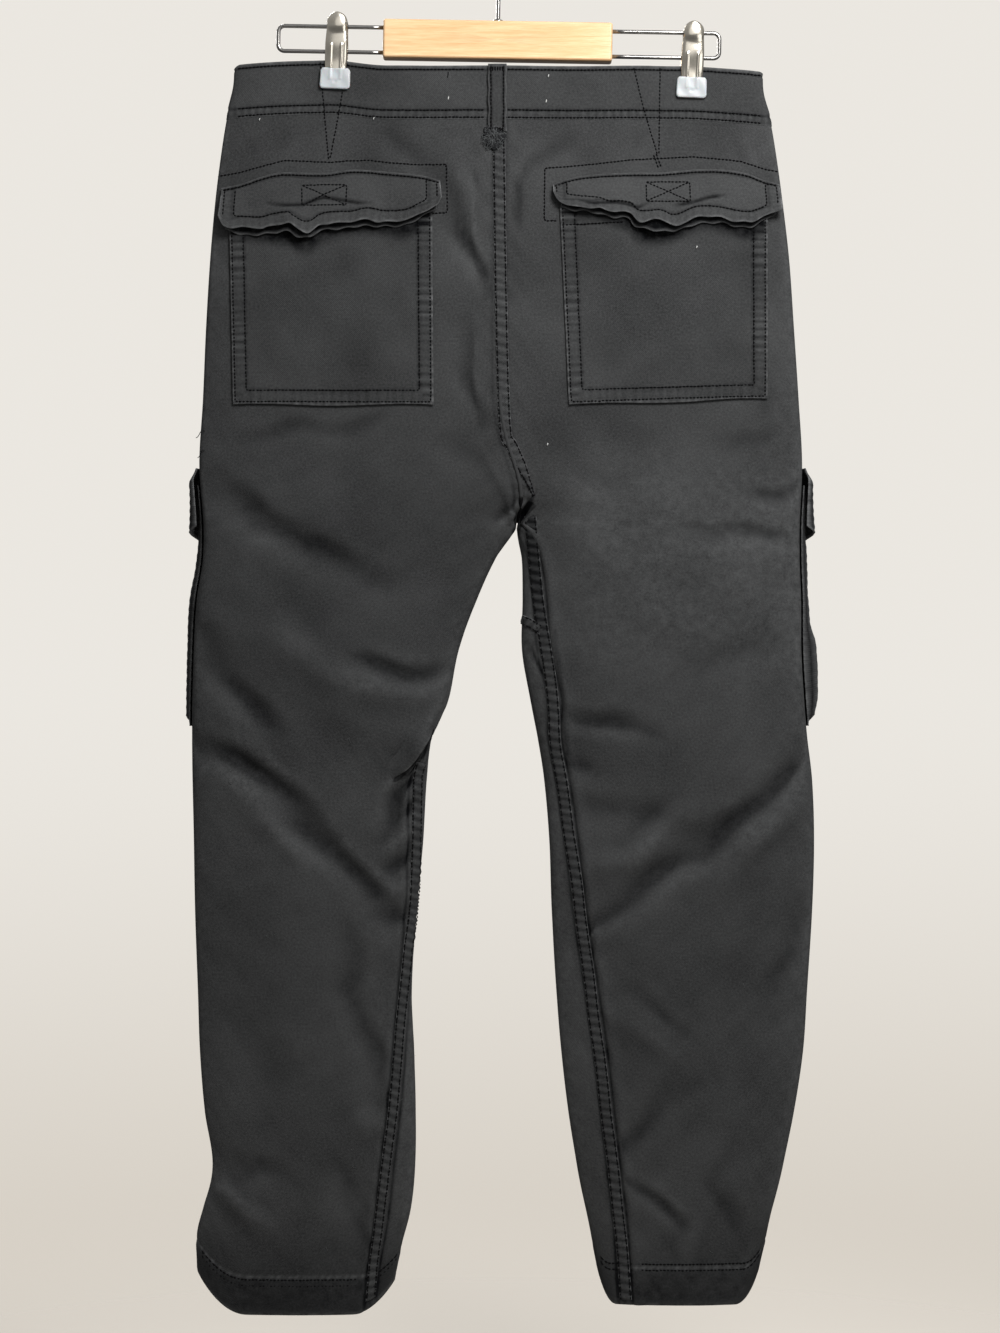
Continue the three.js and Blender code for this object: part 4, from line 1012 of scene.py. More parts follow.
centreBackPath = [
    (-0.8, -178), (-0.8, -210), (0.4, -300), (2.2, -385), (4.6, -436), (9.5, -447), (16.5, -463),
    (21, -478), (24.5, -492),
]
rightInseamPath = [
    (25.2, -504), (26.6, -522), (28.4, -541), (31, -569), (34, -590),
    (41.5, -637), (44.4, -666), (45.8, -693), (51.9, -728), (56.9, -766), (63, -804), (67.4, -842),
    (73, -880), (77.6, -919), (83, -956), (87.8, -999), (93.4, -1041), (97.8, -1082), (101, -1110),
    (104, -1152),
]
leftInseamPath = [
    (-65, -708), (-67, -715), (-68, -722), (-69, -766), (-70.2, -804), (-72, -832), (-76, -861),
    (-77.8, -880), (-82, -919), (-85, -956), (-88, -991), (-93, -1031), (-97.6, -1068),
    (-101, -1098), (-104.4, -1123), (-107, -1156),
]
for name, path, narrow, dark, pointed in (
    ("centre_back_seam", centreBackPath, 1.0, 0.0, 40),
    ("right_inseam", rightInseamPath, 0.94, 0.22, 0),
    ("left_inseam", leftInseamPath, 0.78, 0.18, 0),
):
    place, length = onFacePath(path, "back")
    felledSeam(name, place, length, narrow=narrow, dark=dark, pointed=pointed)
place, length = onFacePath([(16.5, -589), (26, -593.5), (36, -600)], "back")
felledSeam("front_rise_crossing", place, length, wear=0.7, narrow=0.75)


def makeRiseSeam():
    # the seam between the two halves runs down the back, under the crotch and up the front, with the part under the
    # crotch in black as painted shade
    count = 70
    down = np.linspace(-405, garment["crotch"], count)
    z = np.concatenate([down, down[-2::-1]])
    turn = section("right", z)[3]
    smooth = skinPoint("right", z, np.where(np.arange(len(z)) < count, turn, -turn))
    smooth[:, 0] = centreX(z)
    for _ in range(12):
        smooth[1:-1] = 0.5 * smooth[1:-1] + 0.25 * (smooth[:-2] + smooth[2:])
    for name, first, last, material in (
        ("rise_seam_back", 0, 56, "twill"), ("rise_seam_under_crotch_in_shade", 55, 84, "blackThread"),
        ("rise_seam_front", 83, len(z), "twill"),
    ):
        tube(name, smooth[first:last], 1.7, 10, material, "twill")


makeRiseSeam()


def sidePlace(side):
    # along the side seam, measured down from the waist
    top = garment["waistSeam"]

    def place(s, offset=0.0):
        z = top - np.asarray(s, float)
        start = seamAngles(side, z)[0]
        here = skinPoint(side, z, start + 0.02) - skinPoint(side, z, start - 0.02)
        speed = np.linalg.norm(here, axis=-1) / 0.04
        return skin(side, z, start + np.asarray(offset) / speed)
    return place, top - sides[side]["hem"]


for side in ("left", "right"):
    place, length = sidePlace(side)
    felledSeam(f"side_seam_{side}", place, length - 4, wear=0.9, narrow=0.85)
place, length = onFacePath([(0.6, -178), (0.6, -400), (4, -436), (14, -472), (15, -500)], "front")
felledSeam("front_rise_seam", place, length)
print("felled seams made")


# Waistband, with the tops of the darts sewn through it
waistband = {
    "columns": 380, "rows": 20, "thickness": 2.0, "lapOver": 8, "lapUnder": -26, "flat": (0.94, 0.045),
    "height": 45, "stitchRows": (3.4, 37.0, 43.1), "puckerRow": 40,
}


def bandPucker(x, down):
    # small puckers between the two lower rows of stitches
    return np.sin(2 * pi * x / 6.4 + 2 * np.sin(x / 37)) * bell(down, waistband["puckerRow"], 4)


def bandLift(x, z):
    down = garment["waistTop"] - z
    slack = 0.6 * np.sin(x / 33 + z / 15) * np.clip(np.sin(down / waistband["height"] * pi), 0, 1)
    return garment["bandProud"] + 0.15 + slack + 0.26 * bandPucker(x, down) + dartPucker(x, z)


def dartLift(x, z):
    return np.where(z > garment["waistSeam"] - 0.5, bandLift(x, z), dartPucker(x, z))


def makeWaistband():
    w = waistband
    v = fineEnds(w["rows"], w["height"])[:, None]
    z = garment["waistTop"] + (garment["waistSeam"] - garment["waistTop"]) * v
    share = np.linspace(0, 1, w["columns"] // 4 + 1)
    pieces = []
    for side, order in (("right", 1), ("left", -1)):
        turn = section(side, z)[3]
        angle = np.concatenate([-turn * (1 - share)[None, :] + 0 * z, (turn * share)[:, 1:]], axis=1)
        p, n = skin(side, z + 0 * angle, angle)
        pieces.append((p[:, ::order], n[:, ::order]))
    points = np.concatenate([pieces[0][0][:, :-1], pieces[1][0]], axis=1)
    normals = np.concatenate([pieces[0][1][:, :-1], pieces[1][1]], axis=1)
    over = np.linspace(1.5, w["lapOver"], 5)[None, :] + 0 * z
    p, n = facePoint(over, z + 0 * over, "front")
    points, normals = np.concatenate([points, p], axis=1), np.concatenate([normals, n], axis=1)
    under = np.linspace(w["lapUnder"], -1.5, 16)[None, :] + 0 * z
    p, n = facePoint(under, z + 0 * under, "front")
    points, normals = np.concatenate([p, points], axis=1), np.concatenate([n, normals], axis=1)
    columns = points.shape[1]
    out = bandLift(points[..., 0], z + 0 * points[..., 0])
    step = rise(0, 1, (np.arange(columns) - 15) / 7.0)[None, :]
    out = out - (1 - step) * (w["thickness"] + 0.5)
    along = np.cumsum(np.linalg.norm(np.diff(points[5], axis=0, prepend=points[5][:1]), axis=-1))[None, :]
    down = v * w["height"]
    corner = np.clip(1 - (245 - np.abs(points[..., 0] * 1.108)) / 7, 0, 1) * np.clip(1 - down / 14, 0, 1)
    points[..., 2] -= 3.5 * corner**2
    for row, deep in zip(w["stitchRows"], (0.5, 0.45, 0.45)):
        out = out - deep * bell(down, row, 0.9)
    wear = 0.6 * bell(down, 0, 1.6) + 0.3 * bell(down, w["height"], 1.5) + 0.05
    shade = sum(0.6 * bell(down, row, 1.2) for row in w["stitchRows"]) + 0 * along
    # painted light on the pucker crests and painted shade in their hollows
    ticks = bandPucker(points[..., 0], down)
    wear = wear + 0.14 * np.clip(ticks, 0, 1)
    shade = shade + 0.3 * np.clip(-ticks, 0, 1)
    coords = np.stack([along + 0 * down, down + 0 * along, 0 * (down + along)], -1)
    obj = clothShell("waistband_cloth", points, normals, out, w["thickness"], wear, shade, coords=coords)
    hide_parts("waistband")
    for face in ("back", "front"):
        for low, high in ((-218, -10), (-10, 217)):
            for row in w["stitchRows"]:
                zRow = garment["waistTop"] - row
                sewAlong("stitches_waistband", [(low, zRow), (high, zRow)], face, bandLift, ends=1)


makeWaistband()
for dart in darts:
    px, pz = dart["point"]
    for x, z in dart["top"]:
        path = [(x, z - 1.5), (px + (x - px) * 0.62, z + (pz - z) * 0.45), (px + (x - px) * 0.048, pz)]
        sewAlong("stitches_waistband", path, "back", dartLift)
finishSewing("stitches_waistband")
print("waistband made")


# Patch pockets and flaps on the seat
backFlap = {
    "rows": 34, "columns": 120, "thickness": 1.3, "rest": 2.7, "overPocket": 2.3, "footLift": 5.6, "drop": 42,
    "sewnIn": 11.5, "footRow": 9.5, "topRow": 3, "facingRows": 12, "facing": 20, "facingThickness": 0.9,
    "flat": (0.182, 0.05), "facingFlat": (0.182, 0.02),
    "left": {
        "top": [(-49.5, -228), (-62, -224.5), (-80, -222), (-106, -220.3), (-123, -221.5), (-141, -224.8),
                (-160, -224.5), (-181, -223.5), (-196, -226), (-212, -230.5), (-230, -233.5)],
        "foot": [(-49.5, -243), (-53, -250), (-64.6, -256), (-76.6, -262.5), (-97, -264), (-107, -262.8),
                 (-123, -266), (-147, -268), (-157, -275), (-167, -272), (-174, -266.5), (-191, -268),
                 (-195, -269.5), (-212, -268), (-226, -265.6), (-230, -257)],
        "under": [(-53, -251.5), (-64.6, -258.5), (-76.6, -265.5), (-97, -266.5), (-123, -269),
                  (-147, -272), (-157, -277.5), (-167, -276), (-174, -272), (-191, -273.5), (-212, -272.5),
                  (-226, -269)],
        "box": (-163.5, -126.5, -235, -251.5),
        "guide": [(-57, -255), (-43.5, -254), (-44, -214), (-72, -214), (-108, -211.5), (-140, -216),
                  (-178, -213.5), (-214, -221), (-237, -223.5)],
        "creases": [[(-191, -249.5), (-178, -251.3), (-164, -251.3), (-154, -247.8), (-145, -245.3),
                     (-130, -247.8), (-116, -249.5), (-106, -249.5)]],
    },
    "right": {
        "top": [(43.5, -231), (52, -228), (62, -225), (82, -222.5), (104, -221.5), (134, -221), (164, -218),
                (186, -217), (205, -219), (215, -222.5), (230.5, -226.5)],
        "foot": [(43.5, -239), (47, -246), (58.7, -250), (81, -252.5), (88.6, -255.2), (106.6, -256.8),
                 (112.6, -263.4), (118.6, -265), (130.6, -263.5), (142.5, -268), (153, -263.5),
                 (163.5, -259.6), (178.5, -260), (205.3, -262.5), (216, -257), (230.5, -249)],
        "under": [(50, -250), (58, -252.5), (78, -255.5), (92, -258.5), (106, -261), (109.6, -266.5),
                  (118.6, -269.4), (133.6, -271.6), (144, -271), (153, -268), (163.5, -263.5), (178.5, -263.5),
                  (205, -265.5), (216, -260), (227, -253)],
        "box": (120, 156.5, -229.5, -246.5),
        "guide": [(47, -261), (36.5, -261), (37, -217), (52, -216), (82, -213), (110, -210), (160, -207),
                  (199, -208.2), (217, -213), (231.5, -215)],
        "creases": [[(66, -246), (78, -247.7), (93, -247), (103.6, -249.1), (112.6, -252.1), (121.6, -248.4)],
                    [(144, -250.3), (158.9, -247), (172.4, -242.4), (184.4, -240.2)]],
    },
}
for side in ("left", "right"):
    for edge in ("top", "foot", "under"):
        backFlap[side][edge + "At"] = curveOf(backFlap[side][edge])

backPocket = {
    "rows": 76, "columns": 76, "thickness": 1.0, "lift": 1.75, "margin": 11.4, "outerRow": 2.2, "width": 166,
    "height": 168, "flat": (0.172, 0.19),
    "left": {"inner": -56, "outer": -224, "innerFoot": -54.5, "outerFoot": -220, "top": -246, "foot": -414,
             "outerRise": 1},
    "right": {"inner": 49, "outer": 221, "innerFoot": 56.5, "outerFoot": 220.5, "top": -244, "foot": -414,
              "outerRise": 6},
}


def pocketPlace(side, u, v):
    p = backPocket[side]
    inner = p["inner"] + (p["innerFoot"] - p["inner"]) * v
    outer = p["outer"] + (p["outerFoot"] - p["outer"]) * v
    foot = p["foot"] + p["outerRise"] * u + 0.9 * np.sin(u * 8.5 + 0.4)
    return inner + (outer - inner) * u, p["top"] + (foot - p["top"]) * v


def pocketPuff(x, z):
    # the empty pocket's own slack: a few soft blotches
    return (0.8 * np.sin(x / 17.0 + z / 29.0) * np.sin(z / 21.0 + 0.8)
            + 0.45 * np.sin(x / 9.5 - z / 14.0) * np.sin(x / 23.0 + z / 11.0))


def makeBackPocket(side):
    b = backPocket
    name = f"back_pocket_{side}"
    width, height = b["width"], b["height"]
    u = fineEnds(b["columns"], width)[None, :]
    v = fineEnds(b["rows"], height)[:, None]
    x, z = pocketPlace(side, u + 0 * v, v + 0 * u)
    points, normals = facePoint(x, z, "back")
    edge = np.minimum(np.minimum(u, 1 - u) * width, (1 - v) * height)
    upright = np.minimum(u, 1 - u) * width < (1 - v) * height
    along = np.where(upright, v * height, u * width)
    ladder = np.sin(2 * pi * along / 7.0 + 1.4 * np.sin(along / 17) + 0.8 * np.sin(along / 5.3))
    inside = rise(b["margin"], b["margin"] + 22, edge)
    out = b["lift"] + 0.55 * (1 - rise(b["margin"] - 2, b["margin"] + 1.5, edge))
    out = out - 0.4 * bell(edge, b["margin"], 0.9) + 0.3 * ladder * bell(edge, 8, 6)
    out = out + pocketPuff(x, z) * inside
    strip = np.where(upright, 0.7 + 0.45 * np.sin(along / 11 + 4 * u), 0.3)
    strip = strip * (1 - rise(b["margin"] - 1, b["margin"] + 3, edge))
    # worn edges, and painted light on the pucker crests along the side margins
    wear = 0.6 * bell(edge, 0, 1.6) * (0.8 + 0.3 * ladder) + 0.26 * np.clip(ladder, 0, 1) * strip
    # painted shade in the margin groove, in the hollows of the pocket's slack, by the outer row and in the pucker
    # hollows
    shade = 0.5 * bell(edge, b["margin"], 1.3) + np.clip(-0.12 * pocketPuff(x, z), 0, 0.2)
    shade = shade + 0.4 * bell(edge, b["outerRow"], 1.1) + 0.4 * np.clip(-ladder, 0, 1) * strip
    # painted shadow cast by the flap over the pocket's top
    under = backFlap[side]["underAt"](x)
    shade = np.clip(shade + 0.8 * rise(-13, -1, z - under + 3 * np.sin(x / 15)), 0, 1)
    obj = clothShell(name + "_cloth", points, normals, out, b["thickness"], wear, shade)
    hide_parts(name)
    for inset, proud in ((b["margin"], 0.2), (b["outerRow"], 0.6)):
        i, j = inset / width, inset / height
        corners = [pocketPlace(side, np.array(a), np.array(c))
                   for a, c in ((i, 0), (i, 1 - j), (1 - i, 1 - j), (1 - i, 0))]
        sewAlong(f"stitches_back_pocket_{side}", corners, "back", b["lift"] + proud, corners=True)
    finishSewing(f"stitches_back_pocket_{side}")


def flapLift(side):
    f = backFlap[side]

    def lift(x, z):
        top, foot = f["topAt"](x), f["footAt"](x)
        v = np.clip((top - z) / (top - foot), 0, 1)
        wave = np.sin(x / 9.5 + 0.6) * 1.3 + np.sin(x / 22.0 + 2.1) * 1.6 + 0.5 * np.sin(x / 4.6)
        quilt = 0.5 * np.sin(x / 7.5) * np.sin(z / 6.0 + x / 30.0)
        folds = sum(-1.5 * bell(best, 0, 1.7) * (1 - 0.7 * away / 1.7)
                    for best, along, away in (lineDistance(path, x, z) for path in f["creases"]))
        return (backFlap["rest"] + backFlap["overPocket"] * rise(0.05, 0.5, v)
                + (backFlap["footLift"] + wave) * v * v + quilt * v + folds)
    return lift


def makeFlapFacing(side):
    # the flap's turned-in lower layer, whose edge shows below the upper one
    b, f = backFlap, backFlap[side]
    first, last = f["under"][0][0], f["under"][-1][0]
    u = fineEnds(b["columns"], abs(last - first))[None, :]
    v = fineEnds(b["facingRows"], b["facing"])[:, None]
    x = first + (last - first) * u + 0 * v
    foot = f["underAt"](x) + 0.7 * np.sin(x / 2.6) + 0.5 * np.sin(x / 5.9 + 2)
    z = foot + b["facing"] * (1 - v)
    points, normals = facePoint(x, z, "back")
    high = flapLift(side)(x, np.maximum(z, f["footAt"](x) + 1))
    out = high - 3.0 - 2.0 * v + 0.5 * np.sin(x / 4.1) * v
    edge = np.minimum(np.minimum(u, 1 - u) * abs(last - first), (1 - v) * b["facing"])
    wear = 0.6 * bell(edge, 0, 0.9)
    # painted shade over the facing, which lies under the flap
    shade = 0.9 * rise(0.5, 2.2, edge)
    obj = clothShell(f"back_flap_{side}_facing", points, normals, out, b["facingThickness"], wear, shade)


def makeBackFlap(side):
    b, f = backFlap, backFlap[side]
    name = f"back_flap_{side}"
    first, last = f["top"][0][0], f["top"][-1][0]
    u = fineEnds(b["columns"], abs(last - first))[None, :]
    v = fineEnds(b["rows"], b["drop"])[:, None]
    x = first + (last - first) * u + 0 * v
    top, foot = f["topAt"](x), f["footAt"](x)
    ripple = 0.5 * np.sin(x / 3.1) + 0.6 * np.sin(x / 6.7 + 1)
    z = top + (foot + ripple - top) * v
    points, normals = facePoint(x, z, "back")
    liftAt = flapLift(side)
    down = v * b["drop"]
    ends = np.minimum(u, 1 - u) * abs(last - first)
    edge = np.minimum(ends, (1 - v) * b["drop"])
    along = np.where(ends < (1 - v) * b["drop"], down, u * abs(last - first))
    ladder = np.sin(2 * pi * along / 6.2 + 1.2 * np.sin(along / 13))
    out = liftAt(x, z) - 0.45 * bell(edge, b["footRow"], 0.9) + 0.16 * ladder * bell(edge, 6, 5)
    out = out - 0.5 * bell(down, b["topRow"], 1.0)
    # worn edges, with painted light on the pucker crests; painted shade in the rows' grooves, the pucker hollows
    # and the creases
    wear = 0.95 * bell(edge, 0, 1.1) + 0.1 * np.clip(ladder, 0, 1) * bell(edge, 0, 9)
    wear = wear + 0.25 * bell(down, 0, 1.3) + 0.03
    shade = 0.45 * bell(edge, b["footRow"], 1.2) + 0.12 * np.clip(-ladder, 0, 1) * bell(edge, 0, 9)
    shade = shade + 0.5 * bell(down, b["topRow"], 1.2)
    for path in f["creases"]:
        best, along, _ = lineDistance(path, x, z)
        shade = np.maximum(shade, 0.85 * bell(best, 0, 1.3) * rise(0, 0.15, 0.5 - np.abs(along - 0.5)))
    obj = clothShell(name + "_cloth", points, normals, out, b["thickness"], wear, shade)
    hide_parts(name)
    makeFlapFacing(side)
    sewFlap(side)


def sewFlap(side):
    # a short row by each end, a row inside the edge, one under the upper edge, the crossed box and the guide
    b, f = backFlap, backFlap[side]
    group = f"stitches_back_flap_{side}"
    liftAt = flapLift(side)
    high = lambda x, z: liftAt(x, z) + 0.1
    by = lambda edge, x, up: (x, float(f[edge](x)) + up)
    first, last = f["top"][0][0], f["top"][-1][0]
    away = sides[side]["away"]
    for end, inwards in ((first, away), (last, -away)):
        x = end + b["topRow"] * inwards
        sewAlong(group, [by("topAt", x, -b["topRow"]), by("footAt", x, 5)], "back", high, corners=True)
    begin, stop = first + away * b["sewnIn"], last - away * b["sewnIn"]
    inside = [by("footAt", x, b["footRow"]) for x in np.linspace(begin, stop, 26)]
    inside = [by("topAt", begin, -b["topRow"]), *inside, by("topAt", stop, -b["topRow"])]
    sewAlong(group, inside, "back", high, corners=True)
    upper = [by("topAt", x, -2.4) for x in np.linspace(first, last, 30)]
    sewAlong(group, upper, "back", high, ends=1, half=0.75)
    x0, x1, z0, z1 = f["box"]
    around = [(x0, z0), (x1, z0), (x1, z1), (x0, z1), (x0, z0)]
    for path in (around, [(x0, z0), (x1, z1)], [(x0, z1), (x1, z0)]):
        sewAlong(group, path, "back", high, corners=True)
    finishSewing(group)
    sewAlong("stitches_seat", f["guide"], "back", 0.15, corners=True)


for make in (makeBackPocket, makeBackFlap):
    for side in ("left", "right"):
        make(side)
sewAlong("stitches_seat", [(128, -205), (131, -213), (133, -219)], "back", 0.15, offsets=(-1.2, 1.2))
sewAlong("stitches_seat", [(50.6, -265), (104, -262)], "back", 2.4)
for side, outerX, innerX in (("left", -248, -84), ("right", 216, 80)):
    zRow = sides[side]["hem"] + panel["hemHeight"] - 1
    for face in ("back", "front"):
        sewAlong("stitches_hems", [(outerX, zRow), (innerX, zRow)], face, 0.15, ends=1, offsets=(0.0, 5.0))
finishSewing("stitches_seat")
finishSewing("stitches_hems")
print("back pockets and flaps made")


# Cargo pockets on the outside of the thighs, set on the front panels
cargo = {
    "top": -478, "foot": -678, "from": 0.5, "width": 152, "gusset": 9, "mouthLift": 7, "lift": 2.6,
    "bellowsLeft": 10, "bellowsRight": 12, "rows": 84, "columns": 76, "thickness": 1.1,
    "flapTop": -464, "flapFoot": -524, "overhang": 2.5, "clear": 3.2, "lean": 4.5, "chamfer": 12,
    "flapRows": 34, "flapThickness": 1.7, "flat": (0.176, 0.225), "flapFlat": (0.162, 0.064),
}


def arcAngles(side, z, arcs):
    # the angles, on the front, that lie this far round from the outer edge
    fine = -np.linspace(-0.6, 2.6, 400)
    result = np.zeros((len(z), len(arcs)))
    for i, level in enumerate(z):
        p = skinPoint(side, level, fine)
        gone = np.concatenate([[0], np.cumsum(np.linalg.norm(np.diff(p, axis=0), axis=-1))])
        gone -= np.interp(0.0, -fine, gone)
        result[i] = np.interp(arcs, gone, fine)
    return result


def cargoLift(side, arc, z):
    c = cargo
    bellows = c["bellowsLeft"] if side == "left" else c["bellowsRight"]
    start, end = arc - c["from"], c["from"] + c["width"] - arc
    full = c["mouthLift"] + (bellows - c["mouthLift"]) * (1 - rise(c["top"] - 90, c["top"], z))
    swell = 1.2 * np.sin(arc / 21.0 + 0.7) * np.sin(z / 33.0)
    if side == "right":
        swell = swell + 12 * bell(z, -634, 34, 4) * bell(arc, 0, 60) - 2 * bell(z, -560, 18)
    shape = rise(0, c["gusset"], start) * rise(0, c["gusset"], end) * rise(0, c["gusset"], z - c["foot"])
    return c["lift"] + (full + swell) * shape


def makeCargoPocket(side):
    c = cargo
    name = f"cargo_pocket_{side}"
    arcs = c["from"] + c["width"] * fineEnds(c["columns"], c["width"])
    z = c["top"] + (c["foot"] - c["top"]) * fineEnds(c["rows"], 200)
    angle = arcAngles(side, z, arcs)
    zz, aa = z[:, None] + 0 * angle, arcs[None, :] + 0 * angle
    points, normals = skin(side, zz, angle)
    edge = np.minimum(np.minimum(aa - arcs[0], arcs[-1] - aa), zz - z[-1])
    ladder = np.sin(2 * pi * (aa + zz) / 7.4)
    grooves = bell(edge, 3.2, 0.8) + bell(edge, 7.4, 0.8)
    out = cargoLift(side, aa, zz) + 0.25 * ladder * bell(edge, 4, 5) - 0.45 * grooves
    wear = 0.6 * bell(edge, 0, 1.4) + 0.45 * bell(edge, 5.3, 1.0)
    wear = wear + 0.5 * bell(edge - c["gusset"], 0.5, 1.2)
    shade = 0.75 * grooves
    obj = clothShell(name + "_cloth", points, normals, out, c["thickness"], wear, shade)
    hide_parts(name)


def makeCargoFlap(side):
    c = cargo
    name = f"cargo_flap_{side}"
    width = c["width"] + 2 * c["overhang"]
    arcs = c["from"] - c["overhang"] + width * fineEnds(c["columns"], width)
    v = fineEnds(c["flapRows"], 60)
    fromEnd = np.minimum(arcs - arcs[0], arcs[-1] - arcs)[None, :]
    foot = c["flapFoot"] + np.clip(c["chamfer"] - fromEnd, 0, None)
    zz = c["flapTop"] + (foot - c["flapTop"]) * v[:, None]
    aa = arcs[None, :] + 0 * zz
    angle = arcAngles(side, c["flapTop"] + (c["flapFoot"] - c["flapTop"]) * v, arcs)
    points, normals = skin(side, zz, angle)
    ahead = aa + np.where(aa < c["from"] + c["width"] / 2, c["lean"], -c["lean"])
    over = cargoLift(side, np.clip(ahead, c["from"], c["from"] + c["width"]), np.minimum(zz, c["top"]))
    rest = 3.3
    out = rest + (over - rest + c["clear"]) * rise(0, 0.22, v[:, None])
    out = out + (0.9 * np.sin(aa / 11.0) + 0.6 * np.sin(aa / 5.3 + 1)) * v[:, None]**2
    edge = np.minimum(fromEnd + 0 * zz, (1 - v[:, None]) * 60)
    ladder = np.sin(2 * pi * (aa + zz) / 6.8)
    out = out + 0.25 * ladder * bell(edge, 6, 5)
    grooves = bell(edge, 3.4, 0.8) + bell(edge, 8, 0.8)
    out = out - 0.4 * grooves
    wear = 0.9 * bell(edge, 0, 1.5) + 0.3 * bell(edge, 5.6, 1.0) + 0.05
    shade = 0.75 * grooves
    obj = clothShell(name + "_cloth", points, normals, out, c["flapThickness"], wear, shade)
    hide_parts(name)


for side in ("left", "right"):
    makeCargoPocket(side)
    makeCargoFlap(side)
print("cargo pockets made")


# Belt loops, fly and button
loops = {
    "belt_loop_center_back": {"x": -2.2, "face": "back", "half": 7.7, "top": -130.5, "foot": -187},
    "belt_loop_front_left": {"x": -105, "face": "front", "half": 6, "top": -130.5, "foot": -181},
    "belt_loop_front_right": {"x": 112, "face": "front", "half": 6, "top": -130.5, "foot": -181},
}
loopShape = {"lift": 2.45, "bow": 1.6, "thickness": 1.5}


def makeLoop(name, p):
    width = 2 * p["half"]
    u = fineEnds(12, width, 1.0)[None, :]
    v = fineEnds(46, 56, 1.0)[:, None]
    x = p["x"] + (u * 2 - 1) * p["half"] + 0.35 * np.sin(v * 21) + 0 * v
    z = p["top"] + (p["foot"] - p["top"]) * v + 0 * u
    points, normals = facePoint(x, z, p["face"])
    edge = np.minimum(u, 1 - u) * width
    drop = 0.5 * rise(garment["waistSeam"] + 1, garment["waistSeam"] - 2, z)
    out = loopShape["lift"] + loopShape["bow"] * np.sin(pi * v)**0.7 - drop
    out = out - 0.3 * bell(edge, 2.5, 0.7) + 0.15 * np.sin(v * 56 * 2 * pi / 6) * bell(edge, 0, 2.5)
    wear = 0.35 * bell(edge, 0, 1.2) + 0.3 * bell((1 - v) * 56, 0, 2.5) + 0.3 * bell(v * 56, 0, 2)
    shade = 0.6 * bell(edge, 2.5, 1.1)
    obj = clothShell(name + "_cloth", points, normals, out, loopShape["thickness"], wear, shade)
    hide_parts(name)

    def high(x, z):
        share = np.clip((p["top"] - z) / (p["top"] - p["foot"]), 0, 1)
        return loopShape["lift"] + loopShape["bow"] * np.sin(pi * share)**0.7

    for side in (-1, 1):
        line = p["x"] + side * (p["half"] - 2.5)
        sewAlong("stitches_loops", [(line, p["top"] - 2), (line, p["foot"] + 1)], p["face"], high)
    left, right = p["x"] - p["half"] + 1, p["x"] + p["half"] - 1
    for zRow in (p["top"] - 3.5, p["foot"] + 2.5):
        for k in range(4):
            row = [(left, zRow - k * 0.7), (right, zRow - k * 0.7)]
            sewAlong("stitches_loops", row, p["face"], high, pitch=2.0)


for name, p in loops.items():
    makeLoop(name, p)
finishSewing("stitches_loops")

fly = {"width": 40, "foot": -338, "curveFrom": -292, "lift": 1.9, "thickness": 1.1, "flat": (0.042, 0.165)}


def makeFly():
    v = fineEnds(60, 160)[:, None]
    u = fineEnds(18, 40)[None, :]
    top = garment["waistSeam"] - 1
    z = top + (fly["foot"] - top) * v + 0 * u
    t = np.clip((z - fly["foot"]) / (fly["curveFrom"] - fly["foot"]), 0, 1)
    reach = fly["width"] * np.sqrt(1 - (1 - t)**2 * 0.9)
    x = -0.4 - reach * (1 - u)
    points, normals = facePoint(x, z, "front")
    edge = np.minimum((1 - u) * 40, u * reach)
    ladder = np.sin(2 * pi * z / 7.1)
    out = fly["lift"] - 0.35 * bell(u * reach, 5, 0.9) + 0.2 * ladder * bell(edge, 0, 6)
    wear = 0.7 * bell(edge, 0, 1.8)
    obj = clothShell("fly_placket_cloth", points, normals, out, fly["thickness"], wear, 0.05)
    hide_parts("fly_placket")
    curve = [(-35.5 + 26 * (1 - math.cos(t * pi / 2)), -300 - 30 * math.sin(t * pi / 2))
             for t in np.linspace(0, 1, 14)]
    path = [(-35.5, -178), *curve, (-3, -331)]
    sewAlong("stitches_fly", path, "front", fly["lift"] + 0.15, corners=True, offsets=(0.0, 5.0))
    finishSewing("stitches_fly")


makeFly()


def lathe(name, profile, turns, centre, axis, material, slot):
    # a closed turned shape, whose profile runs from the axis out and back to it
    profile = np.array(profile, float)
    angle = np.linspace(0, 2 * pi, turns, endpoint=False)
    ring = profile[:, None, 0, None] * np.stack([np.cos(angle), 0 * angle, np.sin(angle)], -1)[None]
    ring[..., 1] = profile[:, 1, None]
    if axis == "z":
        ring = ring[..., [0, 2, 1]]
    quads = gridQuads(len(profile), turns, 0, False, True)
    return makePiece(name, ring.reshape(-1, 3) + np.array(centre), quads, material, slot)


def makeButton():
    low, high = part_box("waist_button")
    centre = [(low[0] + high[0]) / 2 / mm, low[1] / mm, (low[2] + high[2]) / 2 / mm]
    profile = [(0.05, 0), (5, 0), (7.6, 0), (8.2, 0.3), (8.5, 0.9), (8.5, 1.9), (8.1, 2.7), (7.4, 3.1), (6.8, 2.9),
               (6.2, 2.3), (5.4, 2.0), (2, 2.0), (0.05, 2.0)]
    button = lathe("waist_button_rim", profile, 48, centre, "y", "buttonPlastic", "button")
    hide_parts("waist_button")
    ends = []
    for dx in (-1.6, 1.6):
        for dz in (-1.6, 1.6):
            ends.append((centre[0] + dx, centre[1] + 2.1, centre[2] + dz))
    a = np.array([ends[0], ends[1], ends[0], ends[1], ends[0], ends[2]], float)
    b = np.array([ends[3], ends[2], ends[3], ends[2], ends[1], ends[3]], float)
    a[2:4, 0] += 0.4
    b[2:4, 0] += 0.4
    addStitches("button_thread", a, b, np.tile([0.0, 1.0, 0.0], (6, 1)), 0.45)
    finishSewing("button_thread")


makeButton()
print("loops, fly and button made")


